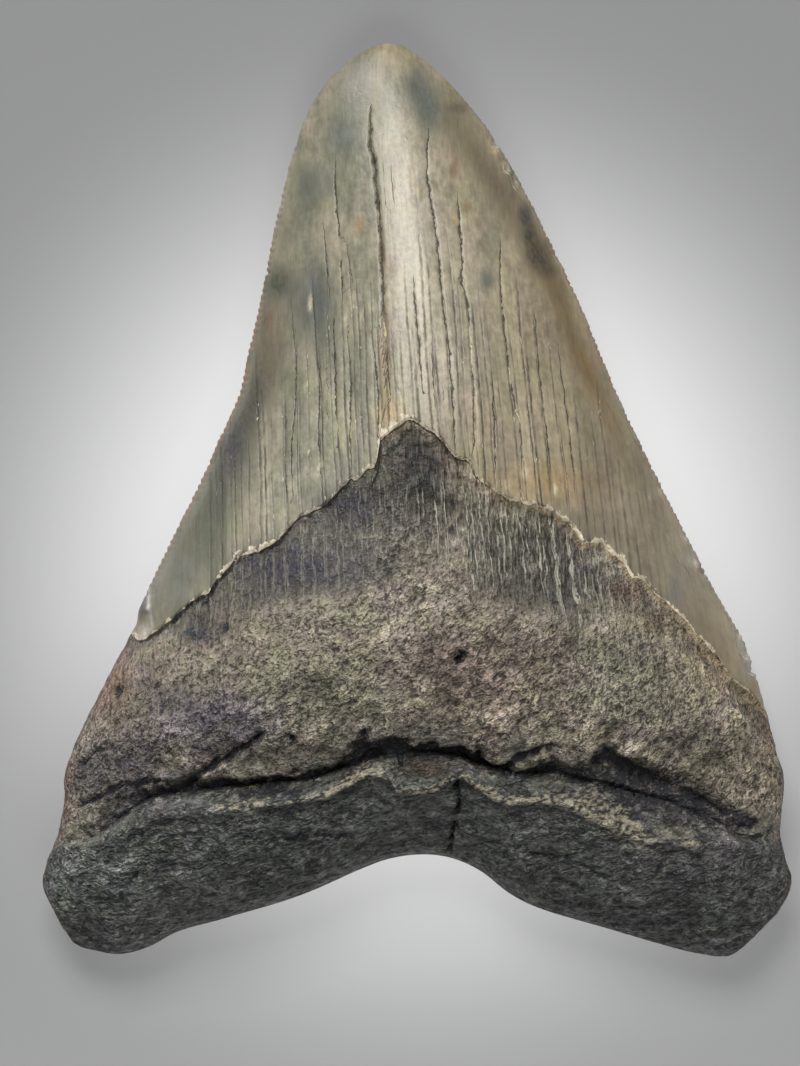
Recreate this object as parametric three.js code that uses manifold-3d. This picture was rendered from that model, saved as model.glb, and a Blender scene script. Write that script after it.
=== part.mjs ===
// Megalodon tooth: a fossil shark tooth, grown as one piece, lying on its flatter outer face.
// Millimetres. +Y runs from the root to the tip, +Z from the resting face up to the bulging face.
import * as THREE from 'three';
import { mergeGeometries, mergeVertices } from 'three/addons/utils/BufferGeometryUtils.js';
import Module from 'manifold-3d';

// Driving dimensions
const enamelStep = 0.5;        // how far the enamel stands above the root at its lower edge
const creaseDepth = 3.2;       // the long crevice between the root and the underside of its lobes
const creaseWidth = 1.5;
const lipHeight = 0.8;         // pale lip along the lower side of the crease
const serrationPitch = 0.9;
const serrationDepth = 0.32;
const serrationWidth = 0.62;
const serrationReach = 1.6;    // half the height of a notch, which cuts through the thin edge
const crackDepth = 0.7;
const crackEndOpening = 0.25;  // width and depth left at a crack's ends, as a share of its middle
const pitDepth = 1.4;

// Outline of the cutting edges and the root's sides, as [y, x], from the lobes up to the tip
const leftEdge = [
  [-55.0, -46.1], [-52.4, -47.7], [-50.0, -48.6], [-47.2, -48.0], [-43.8, -46.7], [-39.6, -45.8],
  [-35.3, -45.6], [-30.1, -43.6], [-20.7, -38.9], [-16.8, -36.8], [-13.7, -35.9], [-5.5, -32.1],
  [2.4, -28.2], [8.7, -25.4], [13.4, -23.3], [19.1, -22.0], [25.6, -20.5], [38.4, -17.9],
  [48.5, -15.0], [53.9, -12.1], [57.4, -8.5],
];
const rightEdge = [
  [-55.7, 44.9], [-53.7, 46.8], [-50.0, 48.6], [-46.6, 47.8], [-43.3, 47.1], [-36.3, 47.6],
  [-33.3, 46.8], [-26.8, 45.1], [-19.0, 42.8], [-12.4, 39.1], [-5.4, 35.5], [2.3, 31.6],
  [13.1, 26.4], [25.6, 21.2], [36.4, 16.0], [41.4, 13.4], [45.9, 10.8], [49.6, 8.2],
  [53.5, 4.9], [56.9, 1.4],
];

// Lines across the tooth, as [x, y], from left to right
const baseLine = [
  [-46.1, -55.0], [-44.6, -57.6], [-41.5, -58.7], [-38.4, -59.1], [-34.7, -58.1], [-31.1, -56.2],
  [-25.4, -54.6], [-15.2, -51.5], [-4.8, -47.1], [0.1, -46.2], [4.3, -46.6], [8.2, -48.3],
  [12.1, -51.3], [16.0, -53.2], [24.4, -55.7], [32.6, -58.1], [36.8, -59.1], [40.2, -59.4],
  [42.1, -58.4], [44.9, -55.7],
];
const creaseLine = [
  [-46.8, -44.2], [-43.2, -43.6], [-36.0, -38.9], [-28.2, -37.4], [-18.5, -36.8], [-10.7, -35.5],
  [-5.5, -33.4], [1.7, -33.3], [7.5, -34.6], [17.3, -35.8], [27.7, -37.8], [39.4, -41.5],
  [47.2, -44.4],
];
const enamelLine = [
  [-36.9, -17.6], [-35.8, -18.4], [-31.1, -15.2], [-25.6, -10.6], [-16.2, -3.4], [-7.4, 2.4],
  [-4.9, 5.9], [-1.3, 9.9], [1.0, 8.9], [5.6, 4.9], [9.5, 1.1], [17.0, -1.5], [23.8, -5.9],
  [34.8, -16.0], [40.0, -22.5], [45.2, -27.6],
];
const outerEnamelLine = [
  [-36.9, -17.6], [-24.0, -13.2], [-8.0, -9.6], [6.0, -9.4], [24.0, -15.0], [45.2, -27.6],
];
const tipLine = [[-8.5, 57.4], [-6.1, 58.8], [-3.8, 59.4], [-1.6, 58.9], [1.4, 56.9]];

// Heights above the resting face, as [y, height], along the middle and along the two edges
const ridgeHeight = [
  [-50.0, 21.0], [-44.0, 21.6], [-34.0, 22.6], [-30.5, 24.6], [-24.0, 25.6], [-18.0, 25.2],
  [-12.0, 23.8], [-5.5, 21.6], [2.3, 19.7], [9.4, 18.4], [25.7, 14.9], [38.7, 11.6],
  [51.7, 7.7], [56.9, 5.9], [59.4, 5.2],
];
const rimHeight = [[-50, 7.6], [-44, 8.2], [-30, 7.2], [-17, 4.6], [0, 3.6], [59.4, 3.4]];
// Across the tooth the height follows (1 - |u| ^ flatness) ^ roundness, with u from -1 to 1
const flatness = [[-44, 3.4], [-30, 2.7], [-14, 2.2], [5, 2.0], [59.4, 2.0]];
const roundness = [[-44, 0.6], [-30, 0.66], [-14, 0.84], [5, 1.0], [25, 1.1], [59.4, 0.9]];

// The resting face, below 0 where it is worn flat: on both lobes and along the crown
const restingHeights = [
  [-44.0, -0.6], [-37.5, -0.5], [-33.5, 0.4], [-25.0, 1.0], [-12.0, 1.0], [-2.0, 0.3],
  [6.0, -0.4], [38.0, -0.4], [46.0, 0.1], [56.0, 1.6], [59.4, 2.4],
];
const restingFlatness = [[-44, 5.0], [-20, 4.0], [0, 2.6], [59.4, 2.6]];
const restingRoundness = [[-44, 0.6], [-20, 0.62], [0, 0.75], [59.4, 0.8]];

// Rows run from 0, the base line, to 1, the crease, 2, the enamel's edge, and 3, the tip
const basalRise = [[0, 0], [0.04, 0.19], [0.12, 0.37], [0.3, 0.58], [0.65, 0.86], [1, 1]];
const restingRise = [[0, 0], [0.05, 0.4], [0.16, 0.68], [0.4, 0.93], [1, 1]];
const tipRow = 3;
const tipRoundStart = 2.8;
const tipRound = [[tipRoundStart, 1], [2.9, 0.93], [2.96, 0.72], [2.985, 0.5], [tipRow, 0]];
const baseRimHeight = 7.2;

// Rows of the surface, closer together at the round ends, the crease and the enamel's edge
const basalRows = [0, 0.04, 0.11, 0.22, 0.38, 0.56, 0.74, 0.88, 0.95];
const rootRows = [1, 1.035, 1.08, 1.16, 1.25, 1.34, 1.43, 1.52, 1.61, 1.7, 1.79, 1.88, 1.95, 1.985];
const crownRowCount = 15;
const crownCrowding = 1.25;
const columnCount = 36;

// Cubic curve through [at, value] pairs
function smooth(pairs, at) {
  const last = pairs.length - 1;
  let k = 0;
  while (k < last - 1 && at > pairs[k + 1][0]) k += 1;
  const slope = (i) => {
    const before = pairs[Math.max(i - 1, 0)];
    const after = pairs[Math.min(i + 1, last)];
    return (after[1] - before[1]) / (after[0] - before[0]);
  };
  const span = pairs[k + 1][0] - pairs[k][0];
  const t = THREE.MathUtils.clamp((at - pairs[k][0]) / span, 0, 1);
  const rise = t * t * (3 - 2 * t);
  const leave = slope(k) * span * t * (1 - t) * (1 - t);
  const arrive = slope(k + 1) * span * t * t * (t - 1);
  return pairs[k][1] * (1 - rise) + pairs[k + 1][1] * rise + leave + arrive;
}

// Point of a line across the tooth, at a share of its width, ending on the two edges
function across(line, share) {
  const first = line[0];
  const last = line[line.length - 1];
  const x = THREE.MathUtils.lerp(first[0], last[0], share);
  return new THREE.Vector2(x, smooth(line, x));
}

// Point of the flat net: the rows bend from one line to the next, the ends keep to the edges
function netPoint(lines, share, row) {
  const band = Math.min(Math.floor(row), lines.length - 2);
  const up = row - band;
  const low = across(lines[band], share);
  const high = across(lines[band + 1], share);
  const lowEnds = [across(lines[band], 0), across(lines[band], 1)];
  const highEnds = [across(lines[band + 1], 0), across(lines[band + 1], 1)];
  const point = low.lerp(high, up);
  [leftEdge, rightEdge].forEach((edge, side) => {
    const y = THREE.MathUtils.lerp(lowEnds[side].y, highEnds[side].y, up);
    const straight = lowEnds[side].lerp(highEnds[side], up);
    const weight = side === 0 ? 1 - share : share;
    point.x += (smooth(edge, y) - straight.x) * weight;
  });
  return point;
}

function bump(distance, width) {
  return Math.exp(-((distance / width) ** 2));
}

// Lumps and hollows of the bulging face, as [x, y, width, length, height]
const reliefs = [
  [1.0, -17.0, 13, 9, 1.2],       // bulge at the middle of the root
  [-25.0, -26.0, 11, 7, 0.9],     // shoulders that run down to the lobes
  [27.0, -28.0, 11, 7, 1.0],
  [14.0, -33.2, 5, 1.6, 1.2],     // flake that stands up over the crease
  [29.5, -35.4, 5, 1.7, -1.7],    // hollow beside it
  [-27.0, -50.0, 13, 5, 1.6],     // undersides of the two lobes
  [29.0, -50.5, 12, 5, 1.7],
  [19.0, -43.0, 8, 2.4, -0.7],    // hollow under the right lip
  [1.0, -43.5, 8, 3, -0.8],       // dip at the middle of the base
];

// Place across the tooth, 0 in the middle and 1 at its edges: by the row's ends below the crease,
// and further up by the edges at the point's own height
function placeAcross(share, row, point) {
  const byRow = Math.abs(share * 2 - 1);
  if (row <= 1) return byRow;
  const left = smooth(leftEdge, point.y);
  const right = smooth(rightEdge, point.y);
  const byPoint = Math.min(Math.abs((2 * (point.x - left)) / (right - left) - 1), 1);
  return THREE.MathUtils.lerp(byRow, byPoint, THREE.MathUtils.smoothstep(row, 1, 1.6));
}

// Height of the thin edge where the two faces meet
function rimAt(row, y) {
  if (row >= 1) return smooth(rimHeight, y);
  return THREE.MathUtils.lerp(baseRimHeight, smooth(rimHeight, creaseLine[0][1]), row);
}

// How far a face stands off the thin edge at a point, with its sides, base and tip rounded off
function swell(share, row, point, middle, flat, round, rise) {
  const y = row < 1 ? across(creaseLine, share).y : point.y;
  const u = placeAcross(share, row, point);
  const section = (1 - u ** smooth(flat, y)) ** smooth(round, y);
  return (smooth(middle, y) - smooth(rimHeight, y)) * section * smooth(rise, Math.min(row, 1));
}

// 0 on the two edges, rising to 1 within a strip that is narrower the steeper it rises
function insideEdges(share, steepness) {
  return Math.min((1 - Math.abs(share * 2 - 1) ** 3) * steepness, 1);
}

function roundTip(row) {
  return smooth(tipRound, Math.max(row, tipRoundStart));
}

function bulgingHeight(share, row, point) {
  let height = swell(share, row, point, ridgeHeight, flatness, roundness, basalRise);
  const inside = insideEdges(share, 2) * Math.min(row * 5, 1);
  const aboveCrease = point.y - smooth(creaseLine, point.x);
  height -= creaseDepth * bump(aboveCrease, creaseWidth) * inside;
  height += lipHeight * bump(aboveCrease + 2 * creaseWidth, creaseWidth) * inside;
  for (const [x, y, width, length, rise] of reliefs) {
    height += rise * bump(point.x - x, width) * bump(point.y - y, length) * inside;
  }
  if (row >= 2) height += enamelStep * insideEdges(share, 8);
  return rimAt(row, point.y) + height * roundTip(row);
}

function restingHeight(share, row, point) {
  const middle = restingHeights;
  let height = swell(share, row, point, middle, restingFlatness, restingRoundness, restingRise);
  if (row >= 2) height -= enamelStep * insideEdges(share, 8);
  return Math.max(rimAt(row, point.y) + height * roundTip(row), 0);
}

// Rows and columns of one face, with diagonals that run into the four corners
function facePatch(lines, heightAt, facesUp) {
  const crownRows = Array.from({ length: crownRowCount + 1 }, (_, k) => {
    return tipRow - (1 - k / crownRowCount) ** crownCrowding;
  });
  const rows = [...basalRows, ...rootRows, ...crownRows];
  const positions = [];
  for (const row of rows) {
    for (let column = 0; column <= columnCount; column += 1) {
      const even = (2 * column) / columnCount - 1;
      const crowded = (even + Math.sin((Math.PI / 2) * even)) / 2;
      const share = (1 + crowded) / 2;
      const point = netPoint(lines, share, row);
      positions.push(point.x, point.y, heightAt(share, row, point));
    }
  }
  const index = [];
  const stride = columnCount + 1;
  for (let j = 0; j < rows.length - 1; j += 1) {
    for (let i = 0; i < columnCount; i += 1) {
      const a = j * stride + i;
      const [b, c, d] = [a + 1, a + stride + 1, a + stride];
      const rising = i < columnCount / 2 === j < rows.length / 2;
      const quad = rising ? [a, b, c, a, c, d] : [a, b, d, b, c, d];
      index.push(...(facesUp ? quad : quad.reverse()));
    }
  }
  const geometry = new THREE.BufferGeometry();
  geometry.setAttribute('position', new THREE.Float32BufferAttribute(positions, 3));
  geometry.setIndex(index);
  return geometry;
}

const wasm = await Module();
wasm.setup();

function toSolid(geometry) {
  const bare = geometry.clone();
  bare.deleteAttribute('normal');
  bare.deleteAttribute('uv');
  const merged = mergeVertices(bare);
  const vertProperties = new Float32Array(merged.attributes.position.array);
  const triVerts = new Uint32Array(merged.index.array);
  return new wasm.Manifold(new wasm.Mesh({ numProp: 3, vertProperties, triVerts }));
}

function toGeometry(solid) {
  const { vertProperties, triVerts } = solid.getMesh();
  const geometry = new THREE.BufferGeometry();
  geometry.setAttribute('position', new THREE.BufferAttribute(vertProperties, 3));
  geometry.setIndex(new THREE.BufferAttribute(triVerts, 1));
  return geometry;
}

const bulgingLines = [baseLine, creaseLine, enamelLine, tipLine];
const restingLines = [baseLine, creaseLine, outerEnamelLine, tipLine];
const bulgingFace = facePatch(bulgingLines, bulgingHeight, true);
const restingFace = facePatch(restingLines, restingHeight, false);
const blank = new THREE.Mesh(mergeVertices(mergeGeometries([bulgingFace, restingFace])));

// Height of the blank's bulging face over a point of the plan
function surfaceHeight(x, y) {
  const above = new THREE.Vector3(x, y, 100);
  const ray = new THREE.Raycaster(above, new THREE.Vector3(0, 0, -1));
  return ray.intersectObject(blank)[0].point.z;
}

// Cracks and crevice branches: a three-sided wedge that follows the surface, thin at both ends
const cracks = [
  { width: 0.55, path: [[-6.0, 51.2], [-5.9, 45.3], [-5.1, 38.2], [-4.7, 32.3], [-3.9, 18.0]] },
  { width: 0.42, path: [[1.6, 47.9], [1.3, 41.7], [2.2, 35.6], [3.3, 26.5], [4.2, 18.0]] },
  { width: 0.42, path: [[5.3, 39.5], [5.9, 31.0], [6.6, 23.9], [7.2, 14.1], [7.2, 6.2]] },
  { width: 0.4, path: [[10.8, 33.6], [11.2, 22.6], [12.1, 14.8], [13.4, 4.6]] },
  { width: 0.35, path: [[15.2, 24.5], [16.4, 10.9], [17.2, 2.4]] },
  { width: 0.35, path: [[-10.7, 44.0], [-10.1, 34.9], [-9.6, 25.2]] },
  { width: 0.35, path: [[-10.8, 22.6], [-10.3, 13.0], [-10.1, 4.0]] },
  { width: 0.35, path: [[-0.5, 28.4], [0.3, 20.5], [0.8, 13.5]] },
  { width: 0.7, path: [[4.9, -34.8], [5.2, -36.6], [5.3, -39.2], [4.8, -41.8], [4.2, -45.2]] },
  { width: 1.1, path: [[-28.9, -36.3], [-25.0, -33.3], [-21.1, -31.6]] },
  { width: 0.9, path: [[-43.2, -34.0], [-41.2, -32.4], [-38.6, -31.6]] },
  { width: 1.1, path: [[22.0, -36.4], [26.0, -33.4], [31.5, -35.8]] },
];

function crackCutter({ width, path }) {
  const rimAbove = 1;
  const steps = 2 * (path.length - 1);
  const curve = new THREE.CatmullRomCurve3(path.map(([x, y]) => new THREE.Vector3(x, y, 0)));
  const wedge = new THREE.CylinderGeometry(1, 1, 1, 3, steps);
  const corners = wedge.attributes.position;
  for (let i = 0; i < corners.count; i += 1) {
    const along = 0.5 - corners.getY(i);
    const centre = curve.getPoint(along);
    const heading = curve.getTangent(along);
    const opening = THREE.MathUtils.lerp(crackEndOpening, 1, Math.sin(Math.PI * along));
    const aside = (corners.getX(i) / Math.sqrt(3)) * width * opening;
    const downward = (corners.getZ(i) + 0.5) / 1.5;
    const depth = THREE.MathUtils.lerp(-rimAbove, crackDepth * opening, downward);
    const z = surfaceHeight(centre.x, centre.y) - depth;
    corners.setXYZ(i, centre.x + heading.y * aside, centre.y - heading.x * aside, z);
  }
  return toSolid(wedge);
}

// Pits: the root's nutrient hole and the holes beside the crevice, as [x, y, radius]
const pits = [[5.6, -20.3, 0.8], [2.0, -31.6, 0.7], [-15.9, -30.9, 0.6], [-38.8, -24.9, 0.7]];

// A cone that points down, twice as long as the pit is deep, with its middle at the surface
function pitCutter([x, y, radius]) {
  const cone = new THREE.ConeGeometry(2 * radius, 2 * pitDepth, 7);
  cone.rotateX(-Math.PI / 2);
  cone.translate(x, y, surfaceHeight(x, y));
  return toSolid(cone);
}

// Chips broken out of the two cutting edges, as [x, y, radius]
const chips = [
  [-36.6, -13.4, 2.0], [-33.3, -6.3, 0.9], [-35.3, -10.2, 0.9], [31.9, 2.9, 0.8], [36.2, -5.4, 1.0],
  [38.1, -8.8, 1.2], [43.4, -19.4, 1.3],
];

function chipCutter([x, y, radius]) {
  const chip = new THREE.OctahedronGeometry(radius);
  const turn = x * y;           // only so that no two chips lie alike
  chip.rotateZ(turn);
  chip.translate(x, y, smooth(rimHeight, y) + radius / 2);
  return toSolid(chip);
}

// One notch between two serrations, a three-sided prism that points into the tooth
function notchCutter(x, y, outward) {
  const notch = new THREE.CylinderGeometry(1, 1, 2 * serrationReach, 3);
  notch.rotateX(Math.PI / 2);
  notch.scale(serrationWidth / Math.sqrt(3), serrationDepth, 1);
  notch.rotateZ(Math.atan2(outward.y, outward.x) - Math.PI / 2);
  notch.translate(x, y, smooth(rimHeight, y));
  return toSolid(notch);
}

// Serrations run at a steady pitch along both cutting edges, from the enamel's foot to the tip
function notchesAlong(edge, start, end, side) {
  const notches = [];
  const step = 0.5;
  let y = start;
  while (y < end) {
    const lean = (smooth(edge, y + step) - smooth(edge, y - step)) / (2 * step);
    const outward = new THREE.Vector2(side, -side * lean).normalize();
    notches.push(notchCutter(smooth(edge, y), y, outward));
    y += serrationPitch / Math.hypot(1, lean);
  }
  return notches;
}

const cutters = [
  ...cracks.map(crackCutter),
  ...pits.map(pitCutter),
  ...chips.map(chipCutter),
  ...notchesAlong(leftEdge, -12, 54, -1),
  ...notchesAlong(rightEdge, -23, 52, 1),
];
const solid = toSolid(blank.geometry).subtract(wasm.Manifold.union(cutters));

const geometry = toGeometry(solid);
geometry.computeBoundingBox();
const { min, max } = geometry.boundingBox;
geometry.translate(-(min.x + max.x) / 2, -(min.y + max.y) / 2, -min.z);
geometry.computeVertexNormals();

const fossil = new THREE.MeshStandardMaterial({ color: 0x6f695c, roughness: 0.6, metalness: 0 });
const tooth = new THREE.Mesh(geometry, fossil);
tooth.name = 'tooth';

const group = new THREE.Group();
group.add(tooth);
export default group;
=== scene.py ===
# %% [markdown]
# A megalodon tooth
#
# This lesson builds one large fossil shark tooth. It lies on its flatter face, and the camera looks
# straight down on it. The solid model gives its size and its place. Here it gets what makes a fossil
# look real: a torn enamel edge, growth cracks, serrations, a pitted root, and the stains of the
# sediment that it lay in.

import math

import bmesh
import bpy
import numpy as np
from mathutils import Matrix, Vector, noise


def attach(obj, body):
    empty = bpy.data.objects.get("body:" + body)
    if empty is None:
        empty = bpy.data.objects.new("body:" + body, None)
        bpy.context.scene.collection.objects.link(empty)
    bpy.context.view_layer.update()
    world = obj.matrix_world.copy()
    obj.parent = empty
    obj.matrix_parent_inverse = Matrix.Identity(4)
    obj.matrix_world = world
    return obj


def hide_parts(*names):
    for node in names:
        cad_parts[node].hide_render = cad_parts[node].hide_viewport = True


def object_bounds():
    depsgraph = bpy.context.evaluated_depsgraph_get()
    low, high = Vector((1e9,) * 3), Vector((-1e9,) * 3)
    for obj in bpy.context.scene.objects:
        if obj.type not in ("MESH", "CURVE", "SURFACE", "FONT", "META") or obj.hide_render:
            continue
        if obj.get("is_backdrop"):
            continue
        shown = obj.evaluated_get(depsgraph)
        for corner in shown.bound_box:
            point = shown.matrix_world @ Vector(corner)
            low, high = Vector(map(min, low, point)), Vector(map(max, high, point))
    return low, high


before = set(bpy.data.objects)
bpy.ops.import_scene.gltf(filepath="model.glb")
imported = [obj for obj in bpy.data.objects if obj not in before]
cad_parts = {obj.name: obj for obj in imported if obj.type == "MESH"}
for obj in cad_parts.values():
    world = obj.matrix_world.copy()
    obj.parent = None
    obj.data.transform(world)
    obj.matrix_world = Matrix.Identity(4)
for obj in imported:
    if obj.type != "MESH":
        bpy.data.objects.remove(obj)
cad_low, cad_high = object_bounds()
print("box of the solid, mm:", [round(1000 * (high - low), 1) for low, high in zip(cad_low, cad_high)])

# %% [markdown]
# The outline of the tooth
#
# All lines are in millimetres, with +Y from the root to the tip. Two edges run up the sides, and four
# lines cross the tooth from left to right: the base, the crevice above the root's lobes, the torn lower
# edge of the enamel, and the tip. They are the lines that the solid is made from, with more points on
# the enamel's edge and on the crevice, because a close look shows them there.

# %% The lines
LEFT_EDGE = [
    (-55.0, -46.1), (-52.4, -47.7), (-50.0, -48.6), (-47.2, -48.0), (-43.8, -46.7), (-39.6, -45.8),
    (-35.3, -45.6), (-30.1, -43.6), (-20.7, -38.9), (-16.8, -36.8), (-13.7, -35.9), (-5.5, -32.1),
    (2.4, -28.2), (8.7, -25.4), (13.4, -23.3), (19.1, -22.0), (25.6, -20.5), (38.4, -17.9),
    (48.5, -15.0), (53.9, -12.1), (57.4, -8.5),
]
RIGHT_EDGE = [
    (-55.7, 44.9), (-53.7, 46.8), (-50.0, 48.6), (-46.6, 47.8), (-43.3, 47.1), (-36.3, 47.6),
    (-33.3, 46.8), (-26.8, 45.1), (-19.0, 42.8), (-12.4, 39.1), (-5.4, 35.5), (2.3, 31.6),
    (13.1, 26.4), (25.6, 21.2), (36.4, 16.0), (41.4, 13.4), (45.9, 10.8), (49.6, 8.2),
    (53.5, 4.9), (56.9, 1.4),
]
BASE_LINE = [
    (-46.1, -55.0), (-44.6, -57.6), (-41.5, -58.7), (-38.4, -59.1), (-34.7, -58.1), (-31.1, -56.2),
    (-25.4, -54.6), (-15.2, -51.5), (-4.8, -47.1), (0.1, -46.2), (4.3, -46.6), (8.2, -48.3),
    (12.1, -51.3), (16.0, -53.2), (24.4, -55.7), (32.6, -58.1), (36.8, -59.1), (40.2, -59.4),
    (42.1, -58.4), (44.9, -55.7),
]
CREASE_LINE = [
    (-46.8, -44.2), (-43.6, -44.0), (-41.2, -42.3), (-38.6, -40.7), (-36.0, -38.9), (-33.4, -38.0),
    (-28.2, -37.6), (-23.0, -37.1), (-17.8, -36.7), (-13.9, -36.4), (-10.7, -35.5), (-8.1, -34.6),
    (-5.5, -33.6), (-2.2, -33.2), (1.7, -33.3), (4.9, -33.6), (7.5, -34.6), (10.8, -35.3),
    (14.0, -35.8), (17.3, -35.5), (20.5, -36.4), (23.8, -37.1), (27.7, -38.0), (31.6, -38.8),
    (35.5, -39.9), (39.4, -41.5), (42.6, -43.1), (47.2, -44.4),
]
ENAMEL_LINE = [
    (-36.9, -17.6), (-35.8, -18.5), (-34.1, -17.6), (-31.1, -15.2), (-28.2, -12.9), (-26.5, -11.9),
    (-25.6, -10.6), (-22.9, -7.8), (-20.2, -6.7), (-18.1, -5.8), (-16.2, -3.4), (-13.7, -1.9),
    (-11.1, -0.3), (-9.0, 2.0), (-7.4, 2.4), (-6.4, 3.7), (-5.2, 4.3), (-4.9, 5.7), (-4.7, 7.2),
    (-2.9, 8.7), (-1.3, 10.0), (-0.5, 10.0), (1.0, 8.9), (2.2, 8.4), (3.9, 6.3), (5.6, 4.9),
    (6.5, 4.8), (7.4, 3.1), (9.5, 1.1), (12.7, -0.4), (17.0, -1.5), (19.2, -3.0), (21.2, -5.5),
    (23.8, -5.9), (26.4, -8.2), (27.4, -9.8), (29.0, -10.6), (31.9, -13.4), (34.8, -16.0),
    (37.4, -19.0), (40.0, -22.5), (43.6, -25.8), (45.2, -27.6),
]
OUTER_ENAMEL_LINE = [
    (-36.9, -17.6), (-24.0, -13.2), (-8.0, -9.6), (6.0, -9.4), (24.0, -15.0), (45.2, -27.6),
]
TIP_LINE = [(-8.5, 57.4), (-6.1, 58.8), (-3.8, 59.4), (-1.6, 58.9), (1.4, 56.9)]


def smooth(pairs, at):
    """Cubic curve through (at, value) pairs."""
    knots, values = np.array(pairs, float).T
    slopes = np.gradient(values)
    slopes[1:-1] = (values[2:] - values[:-2]) / (knots[2:] - knots[:-2])
    slopes[0] = (values[1] - values[0]) / (knots[1] - knots[0])
    slopes[-1] = (values[-1] - values[-2]) / (knots[-1] - knots[-2])
    k = np.clip(np.searchsorted(knots, at) - 1, 0, len(knots) - 2)
    span = knots[k + 1] - knots[k]
    t = np.clip((at - knots[k]) / span, 0, 1)
    rise = t * t * (3 - 2 * t)
    leave = slopes[k] * span * t * (1 - t) ** 2
    arrive = slopes[k + 1] * span * t * t * (t - 1)
    return values[k] * (1 - rise) + values[k + 1] * rise + leave + arrive


def ramp(low, high, value):
    """0 below low, 1 above high, and a soft step between them."""
    t = np.clip((value - low) / (high - low), 0, 1)
    return t * t * (3 - 2 * t)


def bump(distance, width):
    return np.exp(-((distance / width) ** 2))


def noise_at(x, y, z, octaves=3, seed=0.0):
    """Fractal noise from about -1 to 1 at points given in units of its own grain."""
    points = zip(x + seed, y, z)
    return np.array([noise.fractal(Vector(p), 1.0, 2.0, octaves) for p in points])


TEAR_DEPTH, TEAR_PITCH = 0.40, 0.8          # the enamel breaks in small steps along its edge
STRAY_DEPTH, STRAY_PITCH = 0.35, 2.2
tear_x = np.linspace(ENAMEL_LINE[0][0], ENAMEL_LINE[-1][0], 800)
stray = noise_at(tear_x / STRAY_PITCH, 0 * tear_x, 0 * tear_x, 2, seed=7.0)
splinter = tear_x / TEAR_PITCH + 0.8 * stray
splinter_number = np.floor(splinter)
tear = TEAR_DEPTH * noise_at(splinter_number * 0.73, 0 * tear_x, 0 * tear_x, 1, seed=8.5)
tear += 0.8 * tear * (splinter - splinter_number - 0.5) + STRAY_DEPTH * stray
tear *= np.minimum(1, 10 * np.sin(np.linspace(0, math.pi, len(tear_x))))
torn_enamel_line = list(zip(tear_x, smooth(ENAMEL_LINE, tear_x) + tear))
print("points on the torn enamel edge:", len(torn_enamel_line))

# %% [markdown]
# A net of quads
#
# The tooth grew as one piece, so it is one closed mesh. It could be sculpted, but a net that follows
# the tooth keeps its cracks, its crevice and its torn edge crisp: rows run across the tooth and columns
# run from the base to the tip. Each face starts as a flat grid whose points hold only their column and
# their row. The upper face gets twice as many of each, because its detail shows, and along both cutting
# edges the rows are split again for the serrations. Then the two faces are merged along their rim.

# %% The flat net
COLUMNS = 272
BASAL_ROWS = 44
ROOT_ROWS = 100
CROWN_ROWS = 126
ROWS = BASAL_ROWS + ROOT_ROWS + CROWN_ROWS
RIM_COLUMNS = 6         # columns beside the cutting edges that carry the serrations
RIM_CUTS = 2
FRONT, RIM, BACK = 1, 0, -1


def grid_face(net, step, side):
    """Adds one face of the net, with a point at every step columns and rows."""
    made = bmesh.ops.create_grid(net, x_segments=COLUMNS // step, y_segments=ROWS // step, size=0.5)
    points = made["verts"]
    bmesh.ops.translate(net, verts=points, vec=(0.5, 0.5, 0))
    bmesh.ops.scale(net, verts=points, vec=(COLUMNS, ROWS, 1))
    inner = [v for v in points if not v.is_boundary]
    bmesh.ops.translate(net, verts=inner, vec=(0, 0, side))
    return points


def edges_along(points, columns, low_row):
    """Edges that run up the tooth within so many columns of either side, above a row."""
    found = set()
    for point in points:
        near_side = min(point.co.x, COLUMNS - point.co.x) < columns + 0.5
        if near_side and point.co.y > low_row - 0.5:
            for edge in point.link_edges:
                other = edge.other_vert(point)
                if abs(other.co.x - point.co.x) < 0.1 and other.co.y > point.co.y:
                    found.add(edge)
    return sorted(found, key=lambda edge: edge.index)


net = bmesh.new()
front = grid_face(net, 1, FRONT)
crown_start = BASAL_ROWS + ROOT_ROWS
net.edges.index_update()
serrated = edges_along(front, RIM_COLUMNS, crown_start)
bmesh.ops.subdivide_edges(net, edges=serrated, cuts=RIM_CUTS, use_grid_fill=True)

back = grid_face(net, 2, BACK)
bmesh.ops.reverse_faces(net, faces=list({face for point in back for face in point.link_faces}))
net.edges.index_update()
serrated = edges_along(back, RIM_COLUMNS - 2, crown_start)
bmesh.ops.subdivide_edges(net, edges=serrated, cuts=2 * RIM_CUTS + 1, use_grid_fill=True)
rim = [edge for edge in net.edges if edge.is_boundary and edge.calc_length() > 1.5]
bmesh.ops.subdivide_edges(net, edges=rim, cuts=1)
bmesh.ops.remove_doubles(net, verts=net.verts, dist=0.01)
odd_faces = [face for face in net.faces if len(face.verts) > 4]
bmesh.ops.triangulate(net, faces=odd_faces)
print("open edges:", sum(1 for edge in net.edges if not edge.is_manifold))

tooth_mesh = bpy.data.meshes.new("tooth_fossil")
net.to_mesh(tooth_mesh)
net.free()
points = np.empty(3 * len(tooth_mesh.vertices))
tooth_mesh.vertices.foreach_get("co", points)
column, row_number, side = points.reshape(-1, 3).T
on_front = side > 0.5
on_back = side < -0.5
print("points:", len(column), "faces:", len(tooth_mesh.polygons))

# %% [markdown]
# From rows and columns to the plan
#
# Rows stand for four lines: 0 is the base, 1 the crevice, 2 the enamel's edge and 3 the tip. They are
# closer together where the surface turns or breaks. The plan of the tooth is then a blend between those
# lines, pushed out so that its two ends always lie on the two edges.

# %% The plan
END_COLUMNS_SHARE = 0.4     # how much the columns crowd towards the two edges
CLIFF_ROW = 1.9965          # last row of the root, close under the enamel's edge


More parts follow.
